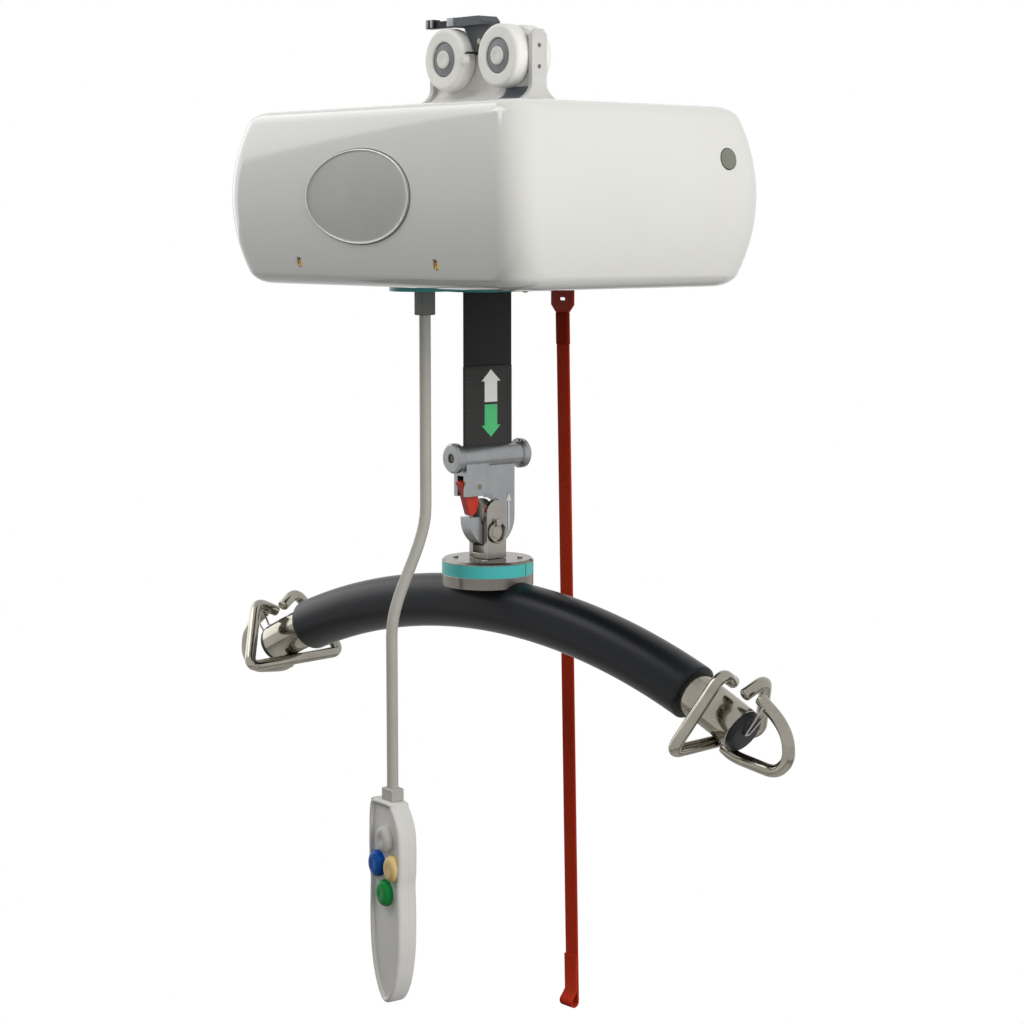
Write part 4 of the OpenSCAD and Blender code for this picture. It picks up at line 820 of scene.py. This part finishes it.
# Board lacquer: green, glossy over its fibre weave.
board_lacquer = grained(
    "circuit_board_lacquer", ("#1e5f43", "#2a7452"), patch=5, gloss=(0.25, 0.4), grain=1.2,
    relief=0.05, edge=0.2, IOR=1.5,
)
for node, material in (
    ("chassis_frame", galvanised), ("drum_bearings", ground_steel), ("drum_shaft", ground_steel),
    ("drum", ground_steel), ("gearbox", machine_enamel), ("motor", machine_enamel),
    ("battery_packs", cell_wrap), ("control_board", board_lacquer),
    ("handset_board", board_lacquer),
):
    dress(node, material)

# Lift strap: black polyester webbing, 50 mm wide, woven with a firm edge. It comes off the drum,
# and its end is doubled round the hanger's pin and sewn.
strap_width, strap_thick, end_thick = 50, 2.2, 4.4
strap_top, strap_seam, bar_level = -106, -242, -314
# Polyester webbing: near black, with a dry grey sheen on its ribs and painted shade in the grooves
# between them. The 1 mm rib is drawn at 1.9 mm to show.
strap_finish = dict(
    along=("Z", "Y"), rib=1.9, thread=3.2, depth=0.12, gloss=(0.5, 0.68), IOR=1.55,
    Specular_IOR_Level=0.2,
)
black_webbing = woven("black_polyester_webbing", ("#141312", "#1c1b1a"), **strap_finish)
# The doubled end is a lighter copy of the webbing: a painted sheen.
sheen_painted_webbing = woven("webbing_painted_sheen", ("#2b2a29", "#373635"), **strap_finish)
strap_run = [(0, 0, strap_top + (strap_seam - 1 - strap_top) * i / 60) for i in range(61)]
strap = make_piece(
    "lift_webbing", swept(strap_run, tape(strap_width, strap_thick), (0, 1, 0)), None,
    black_webbing, ["lift_strap"], crease=50,
)
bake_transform(strap, "hoist", "hanger", start=(0, 0, strap_top * MM), end=(0, 0, strap_seam * MM))
end_run = [(0, 0, strap_seam + (bar_level + 3 - strap_seam) * i / 24) for i in range(25)]
make_piece(
    "lift_webbing_end", swept(end_run, tape(strap_width, end_thick), (0, 1, 0), 1.2), "hanger",
    sheen_painted_webbing, ["strap_end"], crease=50,
)
eye_profile = [(3.1, -25), (5.9, -25), (6.1, -24.6), (6.1, 24.6), (5.9, 25), (3.1, 25)]
eye_place = Matrix.Translation((0, 0, bar_level)) @ Matrix.Rotation(math.pi / 2, 4, "X")
make_piece(
    "lift_webbing_eye", moved(turned(eye_profile, 40, True), eye_place), "hanger", sheen_painted_webbing,
)
dress("strap_coil", black_webbing)

# Stitches of the doubled end: bonded polyester thread, sewn by machine in two rows along each edge
# and one across both ends.
stitch_pitch, stitch_length, thread_r = 3.4, 1.9, 0.42
# Bonded thread: dark grey, a little shinier than the webbing.
thread = grained(
    "bonded_thread", ("#222221", "#2d2d2c"), patch=4, gloss=(0.45, 0.6), grain=0.4, relief=0.05,
    IOR=1.55,
)
stitch_shapes = []
for x in (-2.15, 2.15):
    for y in (-22.6, -19.8, 19.8, 22.6):
        for i in range(18):
            z = strap_seam - 4 - stitch_pitch * i
            run = [(x, y, z), (x, y, z - stitch_length)]
            stitch_shapes.append(swept(run, circle(thread_r, 8), (0, 1, 0), 0.4))
    for z, bare_half in ((strap_seam - 2.4, 11.5), (strap_seam - 66, 0)):
        for i in range(12):
            y = -18.7 + stitch_pitch * i
            if abs(y) > bare_half:
                run = [(x, y - stitch_length / 2, z), (x, y + stitch_length / 2, z)]
                stitch_shapes.append(swept(run, circle(thread_r, 8), (0, 0, 1), 0.4))
make_piece("strap_stitches", joined(*stitch_shapes), "hanger", thread)

# Direction arrows on the strap: white for up and green for down, screen-printed on a thin film
# that is bonded to the doubled end.
film_back, film_front = 2.1, 2.4


def extruded(outline, low, high):
    """A flat outline in (across, up) given thickness along X between two levels."""
    points = [(x, u, v) for x in (low, high) for u, v in outline]
    return points, ring_faces(2, len(outline))


def arrow(middle, tip, tail, shaft, head, share):
    """Outline of an arrow between two levels; share is the part of its length that is its head."""
    neck = tip + (tail - tip) * share
    return [
        (middle, tip), (middle + head / 2, neck), (middle + shaft / 2, neck),
        (middle + shaft / 2, tail), (middle - shaft / 2, tail), (middle - shaft / 2, neck),
        (middle - head / 2, neck),
    ]


# Printed film: flat white or green, with the webbing's ribs showing through and faint painted
# shade in their grooves.
film_finish = dict(
    along=("Z", "Y"), rib=1.9, thread=3.2, depth=0.05, gloss=(0.5, 0.65), shade=0.95, IOR=1.5,
)
white_film = woven("white_print", ("#dad9d5", "#e6e5e1"), **film_finish)
green_film = woven("green_print", ("#46b06c", "#56bc7b"), **film_finish)
for name, tip, tail, film in (
    ("arrow_up", -244.6, -270.6, white_film), ("arrow_down", -298.8, -272.6, green_film),
):
    outline = arrow(1.6, tip, tail, shaft=13.2, head=19.8, share=0.36)
    make_piece(name, extruded(outline, film_back, film_front), "hanger", film)

# Hanger: one aluminium casting, a cross bar with a collar at each end and a flat hook below it,
# tumbled and coated satin grey. A pin through the bar holds the strap's eye.
# Coated cast aluminium: mid grey, satin, with a sandy grain and paler rubbed edges.
satin_casting = grained(
    "coated_cast_aluminium", ("#8a8c8e", "#9fa1a3"), patch=10, gloss=(0.27, 0.32), grain=0.9,
    relief=0.002, edge=0.8, worn="#b4b5b6", Metallic=0.9,
)
eased_copy("hanger_body", "hanger", 1.0, satin_casting)
# Oiled steel: dark brownish grey, dull.
socket_steel = grained(
    "oiled_steel", ("#4d4843", "#625c55"), patch=3, gloss=(0.35, 0.55), grain=0.5, relief=0.03,
    edge=0.3, Metallic=0.9,
)
eased_copy("strap_pin", "hanger", 0.3, socket_steel)
hook_arrow = arrow(17, -345, -375, shaft=1.6, head=6.0, share=0.2)
make_piece(
    "hanger_arrow", extruded(hook_arrow, 5.9, 6.45), "hanger", polished_bead,
)
# Stainless wire: bright pale grey. It is bent into a spring clip that locks the pin in its collar.
stainless = grained(
    "stainless_wire", ("#9b9a97", "#bdbbb6"), patch=3, gloss=(0.15, 0.28), grain=0.6, relief=0.01,
    Metallic=1.0,
)
clip_route = [(4, 31.5, -303.6), (1.5, 31.2, -302.4), (-2.5, 31.2, -302.6), (-6, 31.5, -305)]
make_piece(
    "collar_clip", swept(clip_route, circle(0.8, 12), (0, 1, 0), 0.7), "hanger", stainless,
)

# Hook latch: red moulded nylon lever with a thumb tab. It swings on a small plated pin that is
# pressed through the hook's housing.
# Moulded nylon: clear red, half gloss.
red_nylon = grained(
    "red_moulded_nylon", ("#b02817", "#c43420"), patch=7, gloss=(0.2, 0.32), grain=0.8,
    relief=0.02, edge=0.6, worn="#cf4a38", IOR=1.53, Specular_IOR_Level=0.3,
)
eased_copy("hook_latch", "latch", 0.8, red_nylon)
# Olive zinc plate: dull yellow-green metal.
olive_zinc = grained(
    "olive_zinc_plate", ("#6b6842", "#858154"), patch=2, gloss=(0.35, 0.5), grain=0.5, relief=0.02,
    edge=0.3, Metallic=0.8,
)
eased_copy("latch_pin", "hanger", 0.3, olive_zinc)

# Fork: forged and nickel-plated, it hangs in the hook by its pin and carries the disc on a stem. A
# split ring round the pin's head keeps it in.
split_ring_x, split_ring_r, split_ring_level = 12.8, 8.1, -375
# Brushed nickel: warm grey metal with fine marks, brighter on its edges.
brushed_nickel = grained(
    "brushed_nickel", ("#8c8882", "#a29f99"), patch=9, gloss=(0.22, 0.28), grain=0.7, relief=0.002,
    stretch=(1, 1, 0.12), edge=0.6, worn="#c3beb3", Metallic=1.0,
)
eased_copy("swivel_fork", "fork", 0.8, brushed_nickel)
eased_copy("fork_pin", "fork", 0.4, brushed_nickel)
# Polished nickel: a warm mirror, slightly waved.
polished_nickel = grained(
    "polished_nickel", ("#7f7b70", "#a9a59a"), patch=16, gloss=(0.09, 0.17), grain=3, relief=0.006,
    Metallic=1.0,
)
ring_route = [(split_ring_x, u, split_ring_level + v) for u, v in circle(split_ring_r, 48)]
make_piece(
    "pin_split_ring", swept(ring_route, circle(0.9, 14), (1, 0, 0), closed=True), "fork",
    polished_nickel, ["split_ring"],
)
dress("swivel_nut", zinc_plate)

# Swivel disc: turned steel disc that clamps the bar, nickel-plated, with a thin bevel and four
# small screws on top. A plain teal band lies in a groove round it, its ends meeting in a fine slit.
# Turned nickel: darker warm grey, with marks that run round.
turned_nickel = grained(
    "turned_nickel", ("#68645f", "#7e7a74"), patch=12, gloss=(0.2, 0.28), grain=0.6, relief=0.003,
    stretch=(0.15, 0.15, 1), edge=0.5, worn="#cfcabf", Metallic=1.0,
)
eased_copy("swivel_disc", "spreader", 0.5, turned_nickel)
# Vinyl band: pale teal, satin.
teal_vinyl = grained(
    "teal_vinyl_band", ("#3aa9a6", "#4bb7b3"), patch=14, gloss=(0.35, 0.5), grain=1.0, relief=0.02,
    IOR=1.5,
)
eased_copy("load_band", "spreader", 0.15, teal_vinyl)
eased_copy("disc_screws", "spreader", 0.3, stainless)

# Spreader bar: a steel tube bent to a shallow arch and nickel-plated, with a long rubber sleeve
# over its middle and black plugs pushed into its ends.
bend, crest, bar_turn = 565, -434.5, 5
tube_r, tube_bore, tube_edge, sleeve_r = 17, 14, 0.6, 22
end_turn = math.degrees(math.asin(262 / bend))
sleeve_turn = math.degrees(math.asin(217 / bend))
side_turn = math.degrees(math.asin(248 / bend))
one_mm = math.degrees(1 / bend)


def on_bar(turn, half=0):
    """Place on the bar's axis: X outward along it, Z up; half is 0 or 180 for its two ends."""
    return (
        Matrix.Rotation(math.radians(bar_turn + half), 4, "Z")
        @ Matrix.Translation((0, 0, crest - bend))
        @ Matrix.Rotation(math.radians(turn), 4, "Y")
        @ Matrix.Translation((0, 0, bend))
    )


def bar_along(stations, sides=64):
    """A round body along the bar through stations of (turn in degrees, radius)."""
    section = circle(1, sides)
    points = [on_bar(turn) @ Vector((0, r * u, r * v)) for turn, r in stations for u, v in section]
    return points, ring_faces(len(stations), sides)


tube_lip = [(0, tube_bore), (0, tube_r - tube_edge), (tube_edge, tube_r)]
tube_stations = [(-end_turn + d * one_mm, r) for d, r in tube_lip]
tube_stations += [(-end_turn + (2 * end_turn) * i / 120, tube_r) for i in range(2, 119)]
tube_stations += [(end_turn - d * one_mm, r) for d, r in reversed(tube_lip)]
make_piece(
    "bar_tube", bar_along(tube_stations), "spreader", polished_nickel,
    ["spreader_tube"],
)
sleeve_lip = [(0, 17.1), (0, 20.3), (0.35, 21.2), (0.9, 21.75), (1.7, sleeve_r), (4, sleeve_r)]
sleeve_stations = [(-sleeve_turn + d * one_mm, r) for d, r in sleeve_lip]
sleeve_stations += [(-sleeve_turn + 2 * sleeve_turn * i / 110, sleeve_r) for i in range(2, 109)]
sleeve_stations += [(sleeve_turn - d * one_mm, r) for d, r in reversed(sleeve_lip)]
# Moulded rubber: soft black with a broad grey sheen and a little dust on top.
moulded_rubber = grained(
    "moulded_rubber", ("#0a0c10", "#101318"), patch=30, gloss=(0.3, 0.36), grain=1.2, relief=0.002,
    IOR=1.52, Specular_IOR_Level=0.2,
)
make_piece(
    "bar_sleeve", bar_along(sleeve_stations), "spreader", moulded_rubber,
    ["spreader_sleeve"],
)
cap_profile = [(0, -2), (16.2, -2), (16.5, 0)] + arc((14.5, 3), 2, 0, 90, 8) + [(6, 5), (0, 5)]
end_places = [on_bar(end_turn, half) for half in (0, 180)]
cap_places = [p @ Matrix.Rotation(math.pi / 2, 4, "Y") for p in end_places]
make_piece(
    "bar_end_plugs", copies(turned(cap_profile, 56), cap_places), "spreader", black_acetal,
    ["end_caps"],
)

# Sling hooks: round steel rod bent cold, welded under the tube's ends and plated with it. One hook
# points along the bar at each end and closes with a wire gate, and one rod makes a hook to each
# side.
rod_r, rod_end, rod_drop, side_reach, end_reach = 4.8, 2.2, 21.35, 53, 45
side_rod = [
    (-8, 2, 26.5), (-8, -17, 37), (0, -side_reach, -rod_drop), (0, side_reach, -rod_drop),
    (8, 17, 37), (8, -2, 26.5),
]
end_shares = [(0.10, -1), (0.92, -0.42), (1.04, 0.3), (0.84, 0.95), (0.56, 1.28)]
end_rod = [(-6.6, 0, -rod_drop)]
end_rod += [(u * end_reach, 0, w * rod_drop) for u, w in end_shares]
end_rod += [(4, 0, 31)]
end_hook = swept(bent(end_rod, 9), circle(rod_r, 28), (0, 1, 0), rod_end)
side_hook = swept(bent(side_rod, 11), circle(rod_r, 28), (1, 0, 0), rod_end)
make_piece(
    "end_hook_rods", copies(end_hook, end_places), "spreader", polished_nickel,
    ["axial_hooks"],
)
side_places = [on_bar(side_turn, half) for half in (0, 180)]
make_piece(
    "side_hook_rods", copies(side_hook, side_places), "spreader", polished_nickel,
    ["side_hooks"],
)
hinge = Vector(end_rod[5]).lerp(Vector(end_rod[6]), 0.62)
gate_path = [
    (hinge.x, -2.1, hinge.z), (hinge.x, -5.7, hinge.z), (6.2, -2.6, 0), (6.2, 2.6, 0),
    (hinge.x, 5.7, hinge.z), (hinge.x, 2.1, hinge.z),
]
gate_wire = swept(bent(gate_path, 1.4), circle(0.9, 14), (1, 0, 0))
for hand, end_place in zip(("right", "left"), end_places):
    make_piece(
        hand + "_gate_wire", moved(gate_wire, end_place), hand + "_gate", stainless,
        ["gate_" + hand],
    )

# Cord plug and grip: the plug is a dark moulded block that clips under the exit plate, and the
# grip is a grey block that clamps the cord where it enters the handset.
# Plug PVC: dark grey, dull, finely pebbled.
plug_moulding = grained(
    "grey_pvc_plug", ("#565854", "#686a66"), patch=8, gloss=(0.45, 0.6), grain=0.8, relief=0.05,
    edge=0.6, IOR=1.52,
)
eased_copy("cord_plug", "hoist", 1.0, plug_moulding)
eased_copy("cord_grip", "hoist", 1.2, soft_pvc)

# Handset: two moulded ABS shells that meet at mid-thickness, with one shoulder sloped for the
# thumb. The front face is sunk inside a rounded lip and carries four soft buttons in a cross.
handset_at = Matrix.Translation((-10, -91, -584)) @ Matrix.Rotation(math.radians(-5), 4, "Z")
handset_half, handset_tall = 23, 165
sloped_shoulder = [(0.00, 0.36), (0.02, 0.50), (0.045, 0.64), (0.08, 0.79), (0.12, 0.91)]
sloped_shoulder += [(0.16, 0.97)]
square_shoulder = [(0.00, 0.72), (0.01, 0.84), (0.03, 0.91), (0.07, 0.96), (0.13, 0.985)]
lower_shares = [
    (0.22, 1.00), (0.33, 0.99), (0.40, 0.93), (0.47, 0.95), (0.58, 0.97), (0.70, 0.94),
    (0.80, 0.84), (0.88, 0.69), (0.94, 0.50), (0.98, 0.30), (1.00, 0.10),
]
handset_corners = [
    Vector((w * handset_half, -d * handset_tall)) for d, w in sloped_shoulder + lower_shares
]
handset_corners += [
    Vector((-w * handset_half, -d * handset_tall))
    for d, w in reversed(square_shoulder + lower_shares)
]


def smooth_loop(corners, steps):
    """A smooth closed line through its corners."""
    line = []
    for i in range(len(corners)):
        a, b, c, d = (corners[(i + k - 1) % len(corners)] for k in range(4))
        for j in range(steps):
            t = j / steps
            line.append(0.5 * (
                2 * b + (c - a) * t + (2 * a - 5 * b + 4 * c - d) * t * t
                + (3 * b - a - 3 * c + d) * t ** 3
            ))
    return line


handset_line = smooth_loop(handset_corners, 5)


def drawn_in(line, inward):
    """A closed line moved inward by a distance."""
    n = len(line)
    moved_line = []
    for i in range(n):
        along = (line[(i + 1) % n] - line[i - 1]).normalized()
        moved_line.append(line[i] + inward * Vector((along.y, -along.x)))
    return moved_line


def handset_shell(steps):
    """Rings of the handset's outline through steps of (inward, depth)."""
    points = []
    for inward, depth in steps:
        points += [
            handset_at @ Vector((p.x, depth, p.y)) for p in drawn_in(handset_line, inward)
        ]
    return points, ring_faces(len(steps), len(handset_line))


# Textured ABS: pale warm grey, half dull, finely spark-eroded, a little yellowed.
textured_abs = grained(
    "textured_grey_abs", ("#d0cfca", "#dddbd6"), patch=22, gloss=(0.38, 0.52), grain=0.8,
    relief=0.04, IOR=1.54,
)
front_steps = [
    (3, -0.02), (0.04, -0.02), (0, -0.06), (0, -5.6), (0.2, -6.9), (0.6, -7.9), (1.2, -8.6),
    (1.9, -8.95), (2.5, -9.0), (3.1, -8.8), (3.5, -8.3), (3.7, -7.5), (3.9, -6.6), (4.4, -6.3),
    (5.2, -6.25),
]
back_steps = [
    (3, 0.02), (0.04, 0.02), (0, 0.06), (0, 5.0), (0.3, 6.4), (1.0, 7.6), (2.2, 8.5), (3.6, 8.9),
    (5.2, 9.0),
]
for half, steps in (("front", front_steps), ("back", back_steps)):
    make_piece(
        "handset_" + half + "_shell", handset_shell(steps), "hoist", textured_abs,
        ["handset_" + half],
    )

# Buttons: four oval silicone keys, domed, each with a shallow dish for the finger. They are moulded
# one by one, stand in the sunk front face and press towards the board behind it.
keys_level, key_half_w, key_half_h, key_sides = -52.8, 9.2, 10.8, 48
key_foot, key_shoulder, key_rise, key_slope, dish_spread = -6.2, -8.4, 5, 0.6, 0.45
key_shares = (1, 0.99, 0.97, 0.94, 0.9, 0.84, 0.76, 0.66, 0.54, 0.42, 0.3, 0.18, 0.06)
for place, slot, (across, up), tones, dish in (
    ("top", "button_grey", (0, 22), ("#c2c0ba", "#d0cec8"), 1.3),
    ("left", "button_blue", (-11, 0), ("#06489c", "#0f58b4"), 0.5),
    ("right", "button_sand", (11, 0), ("#dabd7c", "#e6cb8e"), 0.5),
    ("bottom", "button_green", (0, -22), ("#0f8038", "#189146"), 0.5),
):
    outline = [(key_half_w * u, key_half_h * v) for u, v in circle(1, key_sides)]
    points = [(u, key_foot, v) for u, v in outline]
    for share in key_shares:
        dome = key_rise * (1 - share ** 4) ** 0.6 - key_slope * (1 - share)
        depth = key_shoulder - dome + dish * math.exp(-(share / dish_spread) ** 2)
        points += [(share * u, depth, share * v) for u, v in outline]
    # Silicone: strong even colour, soft, with a faint bloom.
    silicone = grained(
        "silicone_key_" + place, tones, patch=6, gloss=(0.22, 0.34), grain=0.9, relief=0.02,
        IOR=1.43, Specular_IOR_Level=0.15,
    )
    key = points, ring_faces(len(key_shares) + 1, key_sides)
    key_at = handset_at @ Matrix.Translation((across, 0, keys_level + up))
    make_piece(
        "key_" + place, moved(key, key_at), place + "_button", silicone, ["button_" + place],
    )

# Pull tab: red moulded tab with a slot, set through the exit plate. The pull strap that is sewn to
# it works the emergency stop inside.
# Tab nylon: brick red, dull.
tab_moulding = grained(
    "red_nylon_tab", ("#a42c17", "#b33620"), patch=8, gloss=(0.35, 0.5), grain=0.8, relief=0.02,
    edge=0.6, IOR=1.53, Specular_IOR_Level=0.1,
)
eased_copy("pull_tab", "pull", 0.8, tab_moulding)

# Floor and light: a pale floor below the lowest reach of the hook, lit by a panel of its own, that
# throws no light up at the part. Soft panels stand round the part, a fill is stronger from above,
# and metal and glass see the white background too.
floor_level, floor_half = -2.45, 3.0
floor = bpy.data.objects.new("floor", bpy.data.meshes.new("floor"))
floor_signs = ((-1, -1), (1, -1), (1, 1), (-1, 1))
floor_corners = [(sx * floor_half, sy * floor_half, floor_level) for sx, sy in floor_signs]
floor.data.from_pydata(floor_corners, [], [(0, 1, 2, 3)])
bpy.context.scene.collection.objects.link(floor)
# Studio vinyl: pale, dull, with broad faint clouds.
pale_floor = grained(
    "pale_floor", ("#e6e5e1", "#eeede9"), patch=200, gloss=(0.6, 0.7), grain=5, relief=0.05,
)
floor.data.materials.append(pale_floor)
floor.visible_diffuse = False

world = bpy.data.worlds.new("studio")
bpy.context.scene.world = world
world.use_nodes = True
sky = world.node_tree
sky.nodes.clear()
upward = add(sky, "SeparateXYZ", {0: add(sky, "TexCoord").outputs["Generated"]})
fill_level = add(sky, "MapRange", {
    "Value": upward.outputs["Z"], "From Min": -1.0, "From Max": 1.0, "To Min": 0.09, "To Max": 0.22,
})
fill = add(sky, "Background", {"Color": tint("#ffffff"), "Strength": fill_level.outputs["Result"]})
white = add(sky, "Background", {"Color": tint("#ffffff"), "Strength": 1.0})
ray = add(sky, "LightPath").outputs
mirrored = add(sky, "Math", {0: ray["Is Camera Ray"], 1: ray["Is Glossy Ray"]}, operation="MAXIMUM")
seen = {0: mirrored.outputs[0], 1: ray["Is Transmission Ray"]}
shown = add(sky, "Math", seen, operation="MAXIMUM")
both = add(sky, "MixShader", {0: shown.outputs[0], 1: fill.outputs[0], 2: white.outputs[0]})
add(sky, "OutputWorld", {"Surface": both.outputs[0]})

# Each panel has a place, an aim, a width and height in metres, watts, and whether gloss shows it.
for name, place, aim, width, height, power, glossy in (
    ("overhead", (-1.1, -1.3, 1.6), (0, 0, -0.3), 1.3, 1.0, 11, True),
    ("overhead_fill", (-1.1, -1.3, 1.6), (0, 0, -0.3), 1.3, 1.0, 12, False),
    ("lens_side", (2.6, -0.14, 0.5), (0, 0, -0.2), 2.2, 2.2, 65, False),
    ("front", (1.25, -1.78, 0.7), (0, 0, -0.2), 1.5, 1.5, 3, False),
    ("left_panel", (-2.94, -0.68, 0.95), (0, 0, -0.1), 2.3, 3.3, 34, True),
    ("back", (-0.7, 1.7, 0.4), (0, 0, -0.2), 0.9, 0.9, 7, False),
    ("floor_wash", (0, 0, -1.1), (0, 0, -2), 4.0, 4.0, 22, False),
):
    lamp = bpy.data.objects.new(name, bpy.data.lights.new(name, "AREA"))
    lamp.data.shape = "RECTANGLE"
    lamp.data.size = width
    lamp.data.size_y = height
    lamp.data.energy = power
    lamp.location = place
    lamp.rotation_euler = (Vector(place) - Vector(aim)).to_track_quat("Z", "Y").to_euler()
    lamp.visible_camera = False
    lamp.visible_glossy = glossy
    bpy.context.scene.collection.objects.link(lamp)
bpy.context.scene.view_settings.view_transform = "Standard"
